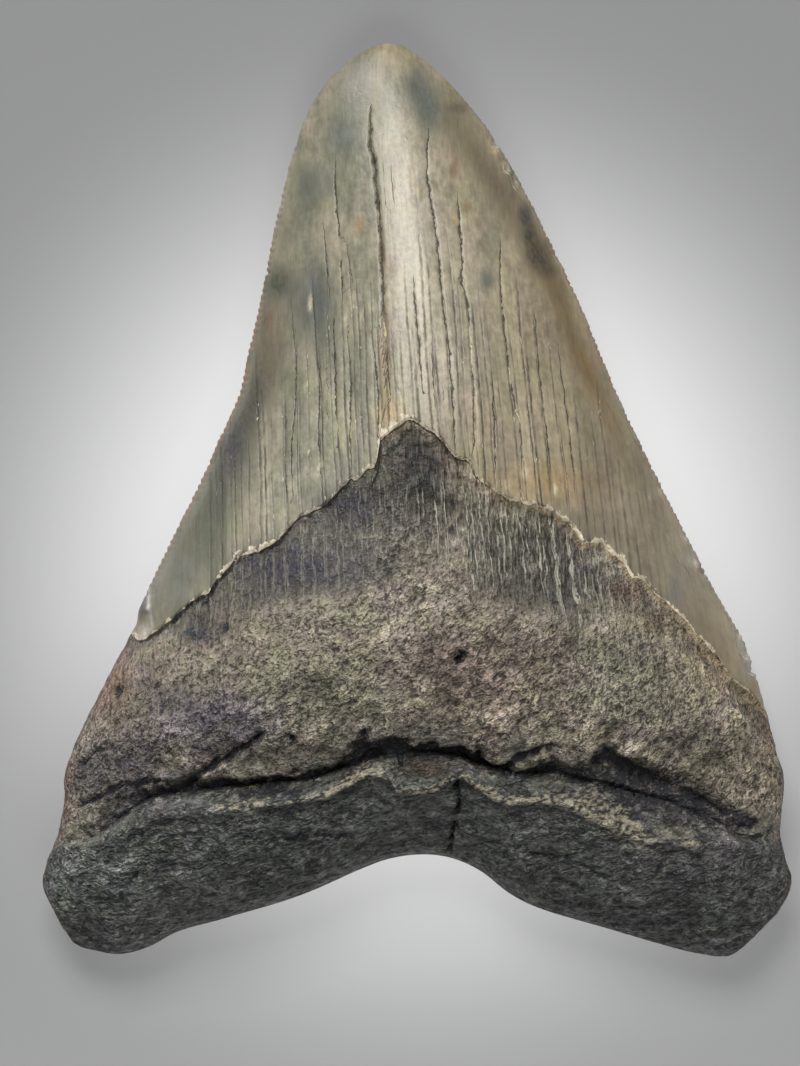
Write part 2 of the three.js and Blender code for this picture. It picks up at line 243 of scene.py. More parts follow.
def crowded(count, low, high, reach=0.06):
    """Steps from 0 to 1 that get closer together at the low end and at the high end."""
    t = np.linspace(0, 1, 2000)
    density = 1 + low * np.exp(-t / reach) + high * np.exp(-(1 - t) / reach)
    total = np.concatenate([[0], np.cumsum((density[1:] + density[:-1]) / 2)])
    return np.interp(np.linspace(0, total[-1], count + 1), total, t)


root_steps = 1 + crowded(ROOT_ROWS, 1.6, 1.2)
root_steps[-2] = CLIFF_ROW
row_table = np.concatenate([
    crowded(BASAL_ROWS, 4, 1.6)[:-1], root_steps[:-1], 2 + crowded(CROWN_ROWS, 0.8, 4),
])
row = np.interp(row_number, np.arange(ROWS + 1), row_table)
even = 2 * column / COLUMNS - 1
even = (1 - END_COLUMNS_SHARE) * even + END_COLUMNS_SHARE * np.sin(math.pi / 2 * even)
share = (1 + even) / 2


def across(line, share):
    """Points of a line across the tooth, at shares of its width."""
    x = line[0][0] + (line[-1][0] - line[0][0]) * share
    return x, smooth(line, x)


def plan_of(lines, share, row):
    """Points of the plan, with the ends of each row on the two edges."""
    x, y = np.zeros_like(row), np.zeros_like(row)
    band = np.minimum(np.floor(row), len(lines) - 2).astype(int)
    for number in range(len(lines) - 1):
        here = band == number
        s, up = share[here], row[here] - number
        low, high = lines[number], lines[number + 1]
        (low_x, low_y), (high_x, high_y) = across(low, s), across(high, s)
        x[here] = low_x + (high_x - low_x) * up
        y[here] = low_y + (high_y - low_y) * up
        for edge, end, weight in ((LEFT_EDGE, 0, 1 - s), (RIGHT_EDGE, -1, s)):
            straight_x = low[end][0] + (high[end][0] - low[end][0]) * up
            edge_y = low[end][1] + (high[end][1] - low[end][1]) * up
            x[here] += (smooth(edge, edge_y) - straight_x) * weight
    return x, y


front_lines = [BASE_LINE, CREASE_LINE, torn_enamel_line, TIP_LINE]
back_lines = [BASE_LINE, CREASE_LINE, OUTER_ENAMEL_LINE, TIP_LINE]
front_x, front_y = plan_of(front_lines, share, row)
back_x, back_y = plan_of(back_lines, share, row)
x = np.where(on_back, back_x, front_x)
y = np.where(on_back, back_y, front_y)
left = smooth(LEFT_EDGE, y)
right = smooth(RIGHT_EDGE, y)
print("plan, mm:", round(np.ptp(x), 1), "by", round(np.ptp(y), 1))

# %% [markdown]
# The two faces
#
# A shark tooth is a flat cone: its inner face bulges and its outer face is nearly flat. The height
# follows a ridge line down the middle, and falls to the thin edges along a rounded section. The numbers
# are those of the solid, so the finished surface stays in its box.

# %% The heights
RIDGE_HEIGHT = [
    (-50.0, 21.0), (-44.0, 21.6), (-34.0, 22.6), (-30.5, 24.6), (-24.0, 25.6), (-18.0, 25.2),
    (-12.0, 23.8), (-5.5, 21.6), (2.3, 19.7), (9.4, 18.4), (25.7, 14.9), (38.7, 11.6),
    (51.7, 7.7), (56.9, 5.9), (59.4, 5.2),
]
RIM_HEIGHT = [(-50, 7.6), (-44, 8.2), (-30, 7.2), (-17, 4.6), (0, 3.6), (59.4, 3.4)]
FLATNESS = [(-44, 3.4), (-30, 2.7), (-14, 2.2), (5, 2.0), (59.4, 2.0)]
ROUNDNESS = [(-44, 0.6), (-30, 0.66), (-14, 0.84), (5, 1.0), (25, 1.1), (59.4, 0.9)]
RESTING_HEIGHTS = [
    (-44.0, -0.6), (-37.5, -0.5), (-33.5, 0.4), (-25.0, 1.0), (-12.0, 1.0), (-2.0, 0.3),
    (6.0, -0.4), (38.0, -0.4), (46.0, 0.1), (56.0, 1.6), (59.4, 2.4),
]
RESTING_FLATNESS = [(-44, 5.0), (-20, 4.0), (0, 2.6), (59.4, 2.6)]
RESTING_ROUNDNESS = [(-44, 0.6), (-20, 0.62), (0, 0.75), (59.4, 0.8)]
BASAL_RISE = [(0, 0), (0.04, 0.19), (0.12, 0.37), (0.3, 0.58), (0.65, 0.86), (1, 1)]
RESTING_RISE = [(0, 0), (0.05, 0.4), (0.16, 0.68), (0.4, 0.93), (1, 1)]
TIP_ROUND = [(2.8, 1), (2.9, 0.93), (2.96, 0.72), (2.985, 0.5), (3, 0)]
BASE_RIM_HEIGHT = 7.2
ENAMEL_STEP = 0.5
# Lumps and hollows of the bulging face, as x, y, width, length and height
RELIEFS = [
    (1.0, -17.0, 13, 9, 1.2), (-25.0, -26.0, 11, 7, 0.9), (27.0, -28.0, 11, 7, 1.0),
    (-27.0, -50.0, 13, 5, 1.6), (29.0, -50.5, 12, 5, 1.7), (1.0, -43.5, 8, 3, -0.8),
]


def place_across(share, row, x, y):
    """0 in the middle of the tooth and 1 at its edges."""
    by_row = np.abs(2 * share - 1)
    by_point = np.minimum(np.abs(2 * (x - left) / (right - left) - 1), 1)
    return by_row + (by_point - by_row) * ramp(1, 1.6, row) * (row > 1)


def inside_edges(steepness):
    return np.minimum((1 - np.abs(2 * share - 1) ** 3) * steepness, 1)


def swell(middle, flatness, roundness, rise):
    """How far a face stands off the thin edge."""
    level = np.where(row < 1, across(CREASE_LINE, share)[1], y)
    u = place_across(share, row, x, y)
    section = np.maximum(1 - u ** smooth(flatness, level), 0) ** smooth(roundness, level)
    lift = smooth(middle, level) - smooth(RIM_HEIGHT, level)
    return lift * section * smooth(rise, np.minimum(row, 1))


rim_low = BASE_RIM_HEIGHT + (smooth(RIM_HEIGHT, CREASE_LINE[0][1]) - BASE_RIM_HEIGHT) * row
rim_height = np.where(row >= 1, smooth(RIM_HEIGHT, y), rim_low)
tip_round = smooth(TIP_ROUND, np.maximum(row, TIP_ROUND[0][0]))
front_lift = swell(RIDGE_HEIGHT, FLATNESS, ROUNDNESS, BASAL_RISE)
inside = inside_edges(2) * np.minimum(row * 5, 1)
for lump_x, lump_y, width, length, height in RELIEFS:
    front_lift += height * bump(x - lump_x, width) * bump(y - lump_y, length) * inside
back_lift = swell(RESTING_HEIGHTS, RESTING_FLATNESS, RESTING_ROUNDNESS, RESTING_RISE)
enamel_step = np.where(row >= 2, ENAMEL_STEP * inside_edges(8), 0)
front_z = rim_height + (front_lift + enamel_step) * tip_round
back_z = np.maximum(rim_height + (back_lift - enamel_step) * tip_round, 0)
z = np.where(on_front, front_z, np.where(on_back, back_z, rim_height))
print("height, mm:", round(z.max(), 1))

# %% [markdown]
# Cracks, crevices and pits
#
# The enamel of a fossil tooth dries and splits along its growth, so its cracks run from the tip to the
# root. Each is a short list of points, as y and x. In the root they are crevices and nutrient holes.
# They are real grooves here, because a groove that is only painted on stays flat when the light moves.
# Crevices and pits are also painted dark, as painted shade.

# %% Grooves
# Growth cracks: half width, depth, darkness, and points as y and x
GROWTH_CRACKS = [
    (0.20, 0.40, 1.00, [
        (12.8, -3.4), (19.3, -4.0), (24.5, -4.4), (28.4, -4.5), (32.3, -4.7), (35.6, -4.8),
        (38.2, -5.1), (40.8, -5.3), (44.0, -5.6), (45.3, -6.0), (48.6, -6.1), (51.2, -6.0)]),
    (0.16, 0.28, 0.90, [
        (6.3, 4.9), (12.8, 4.5), (18.0, 4.2), (23.9, 3.5), (28.4, 3.0), (33.0, 2.6), (38.8, 1.8),
        (41.7, 1.3), (43.4, 1.4), (45.3, 1.3), (47.9, 1.6)]),
    (0.17, 0.30, 0.95, [
        (5.0, 7.0), (7.6, 7.3), (14.1, 7.2), (18.0, 7.0), (21.3, 6.8), (23.9, 6.6), (26.5, 6.2),
        (28.0, 5.7), (31.0, 5.9), (33.0, 5.7), (35.6, 5.5), (39.5, 5.3)]),
    (0.16, 0.26, 0.80, [
        (3.7, 13.5), (9.6, 13.3), (11.5, 12.7), (14.8, 12.1), (17.4, 11.8), (22.6, 11.2),
        (27.8, 10.8), (33.6, 10.8)]),
    (0.14, 0.22, 0.80, [(2.4, 17.2), (7.6, 16.8), (14.1, 16.0), (20.6, 15.5), (24.5, 15.2)]),
    (0.14, 0.22, 0.85, [(1.8, 9.9), (6.3, 10.0), (12.8, 9.8), (16.7, 9.6)]),
    (0.15, 0.25, 0.90, [(13.5, 0.8), (16.1, 0.5), (18.7, 0.3), (23.2, -0.1), (28.4, -0.5)]),
    (0.13, 0.20, 0.75, [(11.5, 2.3), (13.5, 2.2), (16.1, 2.0), (18.7, 1.8)]),
    (0.14, 0.22, 0.80, [(5.7, -5.1), (12.8, -5.0), (16.7, -5.3), (19.3, -5.6), (21.9, -6.0)]),
    (0.15, 0.25, 0.80, [(25.2, -9.6), (31.7, -9.9), (38.8, -10.5), (44.0, -10.7)]),
    (0.13, 0.20, 0.65, [(25.8, -11.3), (31.0, -11.8), (36.2, -12.2)]),
    (0.15, 0.25, 0.85, [(7.0, -10.1), (10.2, -10.4), (14.1, -10.5), (22.6, -10.8)]),
    (0.13, 0.20, 0.75, [(3.1, -8.3), (7.6, -8.6), (15.4, -8.6), (21.9, -9.0)]),
    (0.13, 0.20, 0.75, [(1.1, -12.3), (8.9, -12.7), (12.8, -12.6), (19.3, -12.9)]),
    (0.11, 0.15, 0.50, [(37.5, -3.0), (43.4, -3.4)]),
    (0.11, 0.15, 0.55, [(27.1, -8.3), (29.7, -8.7), (33.6, -9.2)]),
    (0.13, 0.20, 0.70, [(-0.5, -16.0), (6.0, -16.2), (13.0, -15.7), (20.0, -15.6)]),
    (0.13, 0.20, 0.70, [(0.8, 20.4), (8.0, 19.8), (15.0, 18.9), (20.0, 18.3)]),
]
# Pale sediment in the cracks: x, y and half length
CRACK_FILLS = [
    (7.1, 19.4, 3.2), (12.0, 16.8, 2.2), (13.2, 10.9, 1.2), (11.2, 24.4, 1.0), (-4.3, 21.2, 1.6),
    (6.9, 25.4, 0.8), (16.8, 11.4, 0.8), (-10.4, 9.0, 1.0), (-12.7, 4.0, 1.2), (9.9, 6.5, 0.7),
]
# Crevices of the root: half width, depth and points as x and y
CREVICES = [
    (0.16, 1.3, [(5.0, -34.6), (5.2, -36.6), (5.4, -39.2), (4.8, -41.8), (4.2, -44.5), (4.2, -46.4)]),
    (0.35, 1.1, [(-31.0, -37.2), (-28.9, -35.8), (-25.6, -33.9), (-22.6, -32.4), (-19.4, -29.8)]),
    (0.22, 0.6, [(-44.0, -34.4), (-43.2, -34.0), (-41.2, -32.4), (-38.6, -31.6)]),
    (0.4, 1.1, [(7.4, -31.8), (7.9, -34.0), (9.5, -35.0), (11.4, -34.6), (13.4, -33.0), (16.0, -31.8),
                (17.6, -31.7)]),
    (0.9, 1.5, [(22.0, -34.4), (24.3, -33.2), (26.5, -34.4), (29.0, -35.4), (32.5, -36.8)]),
    (0.3, 0.8, [(-44.5, -40.0), (-38.0, -36.9), (-32.0, -36.0)]),
    (0.45, 0.9, [(33.0, -36.6), (38.0, -39.0), (42.0, -41.0), (45.0, -42.6)]),
    (0.35, 0.7, [(-24.0, -38.6), (-18.5, -37.8), (-14.0, -37.9)]),
    (0.5, 0.9, [(-6.6, -29.4), (-7.2, -31.0), (-8.4, -32.6)]),
    (0.22, 0.4, [(-38.0, -43.6), (-34.0, -43.0), (-30.0, -43.4)]),
    (0.22, 0.4, [(-20.0, -44.4), (-13.0, -43.2), (-8.0, -43.4)]),
    (0.22, 0.4, [(14.0, -45.6), (20.0, -46.6), (25.0, -48.8)]),
]
# Pits and nutrient holes: x, y, radius and depth
PITS = [
    (5.8, -19.8, 0.60, 1.8), (5.3, -20.6, 0.55, 1.7), (2.0, -31.9, 0.6, 1.2), (-15.9, -30.9, 0.5, 0.9),
    (-38.8, -24.9, 0.55, 0.8), (-24.6, -16.7, 0.5, 0.5), (-14.0, -47.0, 0.5, 0.6),
    (-38.0, -51.5, 0.5, 0.6), (-20.5, -31.0, 0.4, 0.6), (31.0, -47.5, 0.4, 0.5),
    (-40.0, -46.8, 0.35, 0.5), (-36.2, -48.6, 0.4, 0.6), (-5.6, 43.9, 0.3, 0.3), (-5.0, 38.2, 0.28, 0.3),
]


def distance_to_path(x, y, path):
    """Distance in the plan to a line of points, and the place along it from 0 to 1."""
    best = np.full_like(x, 1e6)
    along = np.zeros_like(x)
    for number, ((x0, y0), (x1, y1)) in enumerate(zip(path, path[1:])):
        dx, dy = x1 - x0, y1 - y0
        t = np.clip(((x - x0) * dx + (y - y0) * dy) / (dx * dx + dy * dy), 0, 1)
        distance = np.hypot(x - x0 - t * dx, y - y0 - t * dy)
        nearer = distance < best
        best = np.where(nearer, distance, best)
        along = np.where(nearer, (number + t) / (len(path) - 1), along)
    return best, along


depth = np.zeros_like(x)
# Painted shade of the crevices and pits, from 0 to 1
hollow_shade = np.zeros_like(x)       # how dark and deep a place is, from 0 to 1
crack_marks = np.zeros((2, len(x), 3))      # signed distance, strength and pale fill, in two sets
CRACK_REACH = 1.0
CRACK_TAPER = 5.0
wander = 0.14 * noise_at(x / 1.3, y / 1.3, 0 * x, 3, seed=3.0)
fill = np.zeros_like(x)
for fill_x, fill_y, half_length in CRACK_FILLS:
    fill = np.maximum(fill, 1.3 * bump(y - fill_y, half_length) * bump(x - fill_x, 0.9))
fill = np.clip(fill, 0, 1)
for number, (half_width, groove, darkness, path) in enumerate(GROWTH_CRACKS):
    path = sorted(path)
    offset = x - smooth(path, y) + wander
    ends = np.minimum(y - path[0][0], path[-1][0] - y) / CRACK_TAPER
    strength = np.clip(ends, 0, 1) ** 0.5 * on_front
    uneven = np.clip(0.85 + 1.3 * noise_at(y / 1.1, 0 * y + number, 0 * y, 3), 0.2, 1.7)
    near = (np.abs(offset) < CRACK_REACH) & (strength > 0)
    depth += 0.6 * groove * strength * bump(offset, half_width) * near
    values = np.stack([offset, half_width * strength * uneven * darkness, fill], axis=1)
    crack_marks[number % 2][near] = values[near]
print("growth cracks:", len(GROWTH_CRACKS))

ragged = noise_at(x / 1.3, y / 1.3, 0 * x, 3, seed=11.0)
for half_width, groove, path in CREVICES:
    distance, along = distance_to_path(x, y, path)
    distance += 0.45 * ragged
    taper = np.clip(6 * np.minimum(along, 1 - along) + 0.35, 0, 1)
    shape = ramp(2.0, 0.3, np.maximum(distance, 0) / (half_width * taper)) * on_front
    depth += groove * taper * shape
    hollow_shade = np.maximum(hollow_shade, 0.9 * taper * shape)
for pit_x, pit_y, radius, groove in PITS:
    away = np.hypot(x - pit_x, 0.8 * (y - pit_y)) / radius + 0.5 * ragged
    shape = ramp(1.3, 0.6, away) * on_front
    depth += groove * shape
    hollow_shade = np.maximum(hollow_shade, shape)
print("crevices:", len(CREVICES), "pits:", len(PITS))

# %% [markdown]
# The crevice above the lobes
#
# The root's two lobes turn under along a deep, ragged crevice with a pale lip below it. It isn't one
# clean groove: its floor wanders, its upper side crumbles and it opens wider near the middle. A deep
# narrow cleft in a wider shallow trough gives both the black line and its soft surroundings, and both
# are painted darker as well, as painted shade.

# %% The crevice
TROUGH_DEPTH = 2.0
CLEFT_DEPTH, CLEFT_WIDTH = 1.4, 0.65
LIP_HEIGHT, LIP_WIDTH = 1.1, 0.8
UPPER_MARGIN = [
    (-46.8, -43.3), (-43.6, -42.5), (-38.6, -37.9), (-33.4, -36.6), (-28.2, -35.8), (-23.0, -35.9),
    (-16.5, -35.4), (-11.3, -34.5), (-8.7, -32.9), (-5.9, -31.1), (-2.2, -31.1), (1.0, -31.6),
    (5.9, -32.0), (8.2, -33.6), (10.8, -34.2), (13.4, -33.6), (16.6, -33.3), (19.9, -34.2),
    (23.8, -34.0), (26.4, -33.3), (30.3, -34.4), (35.5, -35.9), (39.4, -39.2), (42.6, -42.0),
    (47.2, -43.0),
]
LIP_LINE = [
    (-46.8, -45.4), (-41.2, -44.4), (-36.0, -42.0), (-33.4, -40.7), (-28.2, -40.2), (-21.7, -39.2),
    (-16.5, -38.5), (-12.6, -37.8), (-9.4, -36.3), (-7.4, -35.2), (-4.8, -34.8), (-3.5, -35.6),
    (-2.2, -36.7), (0.0, -37.1), (2.3, -36.7), (4.3, -35.5), (5.6, -35.0), (6.9, -36.1), (8.8, -37.2),
    (11.4, -38.3), (16.0, -38.6), (18.6, -38.8), (21.8, -40.2), (25.1, -42.0), (29.0, -43.5),
    (34.2, -44.1), (39.4, -44.6), (47.2, -45.4),
]
crumble = noise_at(x / 2.4, y / 1.8, 0 * x, 3, seed=5.0)
fine_crumble = noise_at(x / 0.7, y / 0.8, 0 * x, 2, seed=6.0)
crease_y = smooth(CREASE_LINE, x)
above_crease = y - crease_y + 0.75 * crumble + 0.5 * fine_crumble
margin = np.maximum(smooth(UPPER_MARGIN, x) - crease_y, 0.6)
lip_drop = np.maximum(crease_y - smooth(LIP_LINE, x), 0.6)
fade = inside * on_front
upward = above_crease / margin
downward = (crease_y - y + 0.25 * crumble) / lip_drop
trough = np.where(above_crease > 0, ramp(1.25, 0.55, upward), ramp(1.0, 0.1, downward))
variety = 0.75 + 0.5 * noise_at(x / 4, 0 * x, 0 * x, 2, seed=2.0)
cleft = bump(above_crease, CLEFT_WIDTH) * variety
lip_away = y - smooth(LIP_LINE, x) + 0.35 * crumble + 0.15 * fine_crumble
lip = bump(lip_away, LIP_WIDTH)
depth += (TROUGH_DEPTH * trough + CLEFT_DEPTH * cleft - LIP_HEIGHT * lip) * fade
# Painted shade: the trough and the cleft are painted dark, as if in shadow
trough_shade = np.where(above_crease > 0, ramp(1.25, 0.55, upward), ramp(0.6, 0.0, downward))
trough_shade *= np.clip(0.85 + 0.5 * crumble, 0, 1)
hollow_shade = np.maximum(hollow_shade, np.clip(0.8 * trough_shade + 0.45 * cleft, 0, 1) * fade)
flake_across = y + 34.0 - 0.45 * (x - 14.6) + 0.25 * crumble
flake = ramp(1.6, 0.9, np.abs(x - 14.6) / 1.9) * ramp(1.5, 0.8, np.abs(flake_across) / 0.62) * fade
depth -= 1.2 * flake
hollow_shade *= 1 - flake
# Where the lip is worn pale: x and strength, and x and half its width
LIP_STRENGTH = [
    (-46.8, 0), (-40, 0.25), (-34, 0.35), (-28, 0.3), (-23, 0.6), (-15, 0.5), (-11.5, 0.9), (-5, 1),
    (-2.5, 0.7), (2, 1), (4.4, 0.9), (5.2, 0.4), (6.5, 1), (12, 1), (17, 0.9), (20, 0.7), (23, 0.9),
    (28, 0.9), (30.5, 0.3), (33.5, 0.7), (37, 0.2), (47.2, 0),
]
LIP_HALF_WIDTH = [
    (-46.8, 0.5), (-30, 0.7), (-14, 0.5), (-8, 0.55), (5, 0.45), (10, 0.55), (17, 0.75), (20.5, 1.3),
    (23, 2.1), (27.5, 2.1), (30, 0.8), (35, 0.7), (47.2, 0.4),
]
lip_width = smooth(LIP_HALF_WIDTH, x)
lip_centre = 0.45 * (lip_width - 0.5)
pale_lip = np.maximum(smooth(LIP_STRENGTH, x) * bump(lip_away - lip_centre, lip_width) * fade, flake)
ledge = 0.45 * bump(y + 40.9 + 0.12 * x + 0.9 * crumble, 1.2) * bump(x + 27, 13) * fade
pale_lip = np.maximum(pale_lip, ledge)
print("deepest groove, mm:", round(depth.max(), 2))

# %% [markdown]
# Rough root, smooth crown
#
# The root is porous dentine: lumps, small grains and fine wrinkles. The crown is enamel, so it has only
# the faint waves of its growth. The mesh carries what is wider than its own quads, about 0.4 mm, and the
# materials add the finer grain as bump.

# %% Texture of the surface
# The root's upper shoulder, below the smoother dark band that borders the enamel, as x and y
SHOULDER_LINE = [
    (-37.0, -21.5), (-31.0, -18.5), (-24.0, -16.2), (-17.0, -14.6), (-11.0, -13.7), (-2.0, -11.2),
    (4.0, -10.8), (9.0, -12.6), (14.0, -14.5), (19.0, -14.6), (25.0, -14.5), (31.0, -18.5),
    (38.0, -25.0), (45.0, -32.0),
]
above_shoulder = y - smooth(SHOULDER_LINE, x)
root = np.clip(1 - ramp(1.985, 2.0, row), 0, 1)
band = ramp(0.0, 3.0, above_shoulder) * ramp(2.0, 1.97, row)
shoulder = 0.45 * bump(above_shoulder + 0.8, 2.2) - 0.35 * band
lean = math.radians(-40)
along_grain = x * math.sin(-lean) + y * math.cos(lean)
across_grain = x * math.cos(lean) - y * math.sin(-lean)
lumps = noise_at(x / 7, y / 6, z / 7, 3, seed=21.0)
knobs = noise_at(x / 2.4, y / 2.0, z / 2.4, 2, seed=22.0)
grains = noise_at(across_grain / 0.9, along_grain / 1.7, z / 1.2, 2, seed=23.0)
level_grains = noise_at(x / 2.3, y / 1.0, z / 1.0, 2, seed=24.0)
upright_grains = noise_at(x / 0.8, y / 3.0, z / 2.0, 2, seed=25.0)
basal = 1 - ramp(0.9, 1.1, row)
upper_root = ramp(1.5, 1.75, row)
grain = grains * (1 - basal) * (1 - upper_root) + level_grains * basal + upright_grains * upper_root
rough = 1 - 0.7 * band * ramp(-2.0, -9.0, x)
roughness = (0.42 * lumps + 0.38 * knobs + 0.36 * grain) * rough + shoulder
waves = 0.10 * noise_at(x / 5, y / 14, z / 9, 2, seed=31.0) + 0.02 * noise_at(x / 1.4, y / 9, 0 * x, 2)
calm = np.minimum(row * 8, 1) * inside_edges(5)
height_change = (roughness * root * calm + waves * (1 - root) * calm) - depth
under = np.where(on_back, ramp(0.02, 1.0, z), 1)
height_change = height_change * under * np.where(on_back, 0.6, 1)
print("texture from", round(height_change.min(), 2), "to", round(height_change.max(), 2), "mm")

# %% [markdown]
# Serrations and chips
#
# Both cutting edges are saws: about eleven small rounded points to the centimetre, with narrow notches
# between them, worn and broken here and there. The notches fade out within a millimetre of the edge.
# Chips are flat breaks: every point beyond a plane is pushed back onto it.

# %% The cutting edges
SERRATION_PITCH = 0.9
SERRATION_DEPTH = 0.24
SERRATION_REACH = 0.75


def edge_lengths(edge):
    """Length along an edge for each height, as two matching lists."""
    levels = np.linspace(edge[0][0], edge[-1][0], 600)
    steps = np.hypot(np.diff(levels), np.diff(smooth(edge, levels)))
    return levels, np.concatenate([[0], np.cumsum(steps)])


inset_x, inset_y, inset_z = np.zeros_like(x), np.zeros_like(x), np.zeros_like(x)
edge_distance = np.full_like(x, 1e6)
for edge, start, sign in ((LEFT_EDGE, -13.0, -1), (RIGHT_EDGE, -24.0, 1)):
    slope = (smooth(edge, y + 0.5) - smooth(edge, y - 0.5))
    length = np.hypot(1, slope)
    inward = (smooth(edge, y) - x) * sign / length
    edge_distance = np.minimum(edge_distance, inward)
    phase = np.interp(y, *edge_lengths(edge)) / SERRATION_PITCH
    notch = np.abs(np.cos(math.pi * phase)) ** 3
    worn = 0.7 + 0.9 * noise_at(np.floor(phase + 0.5) * 0.37, 0 * y, 0 * y + sign, 2)
    crown = ramp(start - 1, start + 1, y) * (0.35 + 0.65 * ramp(48, 34, y)) * ramp(56, 50, y)
    amount = SERRATION_DEPTH * np.clip(worn, 0.15, 1.4) * notch * crown * bump(inward, SERRATION_REACH)
    ragged = 0.12 * noise_at(y / 1.7, 0 * y + sign, 0 * y, 3) * bump(inward, 1.2)
    amount = amount + ragged * np.minimum(row * 8, 1) * (row < 2.95)
    inset_x -= sign * amount / length
    inset_y += sign * amount * slope / length
    inset_z -= 0.35 * amount * side * crown

# Chips: x, y, height, the way that the break faces, how far it reaches, and how pale it is
CHIPS = [
    (-35.3, -13.2, 6.4, (-0.80, -0.10, 0.60), 2.4, 0.0), (-35.4, -16.4, 6.2, (-0.70, 0.20, 0.70), 2.0, 0.0),
    (-33.3, -6.3, 4.4, (-0.9, 0.3, 0.45), 1.3, 0.8), (-34.9, -10.2, 4.6, (-0.9, -0.2, 0.5), 1.2, 0.7),
    (31.4, 2.9, 4.3, (0.9, -0.1, 0.4), 1.0, 0.7), (35.6, -5.4, 4.6, (0.85, 0.3, 0.4), 1.3, 0.5),
    (37.4, -8.8, 4.9, (0.8, -0.3, 0.5), 1.5, 0.4), (42.4, -19.4, 5.8, (0.85, 0.2, 0.45), 1.6, 0.5),
    (43.0, -22.0, 6.2, (0.9, -0.2, 0.4), 1.3, 0.6), (11.4, 43.0, 4.1, (0.8, 0.5, 0.5), 0.8, 0.4),
    (12.6, 41.0, 4.2, (0.85, 0.3, 0.5), 0.7, 0.35), (9.9, 46.0, 4.0, (0.8, 0.5, 0.4), 0.9, 0.6),
]
print("serrations to the centimetre:", round(10 / SERRATION_PITCH, 1), "chips:", len(CHIPS))

# %% Placing the points
place = np.stack([x + inset_x, y + inset_y, z + inset_z], axis=1)
tooth_mesh.vertices.foreach_set("co", (place / 1000).ravel())
tooth_mesh.update()
normals = np.empty(place.size)
tooth_mesh.vertices.foreach_get("normal", normals)
place += normals.reshape(-1, 3) * height_change[:, None]
chip_marks = np.zeros_like(x)
for chip_x, chip_y, chip_z, facing, reach, paleness in CHIPS:
    centre = np.array([chip_x, chip_y, chip_z])
    facing = np.array(facing) / np.linalg.norm(facing)
    away = place - centre
    near = 1 - ramp(0.8 * reach, reach, np.linalg.norm(away * (1, 1, 0.5), axis=1))
    beyond = np.maximum(away @ facing, 0) * near
    place -= beyond[:, None] * facing
    chip_marks = np.maximum(chip_marks, paleness * ramp(0.02, 0.08, beyond))
margin_mm = 0.02
low = np.array(cad_low) * 1000
high = np.array(cad_high) * 1000
place = np.clip(place, low - (margin_mm, margin_mm, 0), high + (margin_mm, margin_mm, margin_mm))
tooth_mesh.vertices.foreach_set("co", (place / 1000).ravel())
tooth_mesh.update()
tooth = bpy.data.objects.new("tooth_fossil", tooth_mesh)
bpy.context.scene.collection.objects.link(tooth)
tooth_mesh.shade_smooth()
tooth_mesh.calc_loop_triangles()
print("triangles:", len(tooth_mesh.loop_triangles))

# %% [markdown]
# Stains and marks
#
# Megalodon teeth take their colours from the sediment: iron browns, phosphate blacks and blue-grey
# clouds. A stain is a soft spot with a size, a colour and a strength. A few spots are painted light and
# shade instead: highlight along the crown's ridge and on the root's boss, and highlight and shade at the
# chips of the right edge. All of them are painted on the points of the mesh, one over the other, and the
# materials break up their borders with noise.

# %% Stains


def linear(code):
    """Linear colour of an sRGB hex code."""
    parts = [int(code[i:i + 2], 16) / 255 for i in (1, 3, 5)]
    return [c / 12.92 if c <= 0.04045 else ((c + 0.055) / 1.055) ** 2.4 for c in parts]


# Broad tones of the crown: x, y, half width, half length, colour and strength
WASHES = [
    (-12, 11, 9, 22, "#A5A18C", 0.5), (16, 20, 6.5, 17, "#A39679", 0.6), (12, 16, 4.5, 19, "#B4A88E", 0.5),
    (5.4, 21, 3.4, 14, "#BFB49E", 0.5), (-18, 1, 8, 6, "#ABA693", 0.6), (1.4, 26, 3.4, 23, "#BBB09A", 0.6),
    # The pale wash at x -1.8, y 33 is painted highlight along the crown's ridge
    (-1.8, 33, 2.4, 16, "#CEC3AF", 0.5), (24, 2, 8, 9, "#7F735E", 0.6), (33, -10, 8, 10, "#827865", 0.75),
    (38, -19, 5, 6, "#8D7A5C", 0.7), (6, 8, 5, 6, "#A39170", 0.45), (16, 2.0, 6.5, 2.6, "#A68A60", 0.7),
    (23.5, -4.2, 3.6, 1.8, "#74695A", 0.6), (-9, 53.5, 4.5, 6, "#7C7664", 0.8), (5, 50, 4, 8, "#7E765F", 0.6),
    # The pale wash at x -3.4, y 50.5 is painted highlight on the ridge near the tip
    (-3.4, 50.5, 1.2, 4.5, "#B4B2A6", 0.5), (-4, 58.4, 4.5, 1.8, "#93845F", 0.6),
]
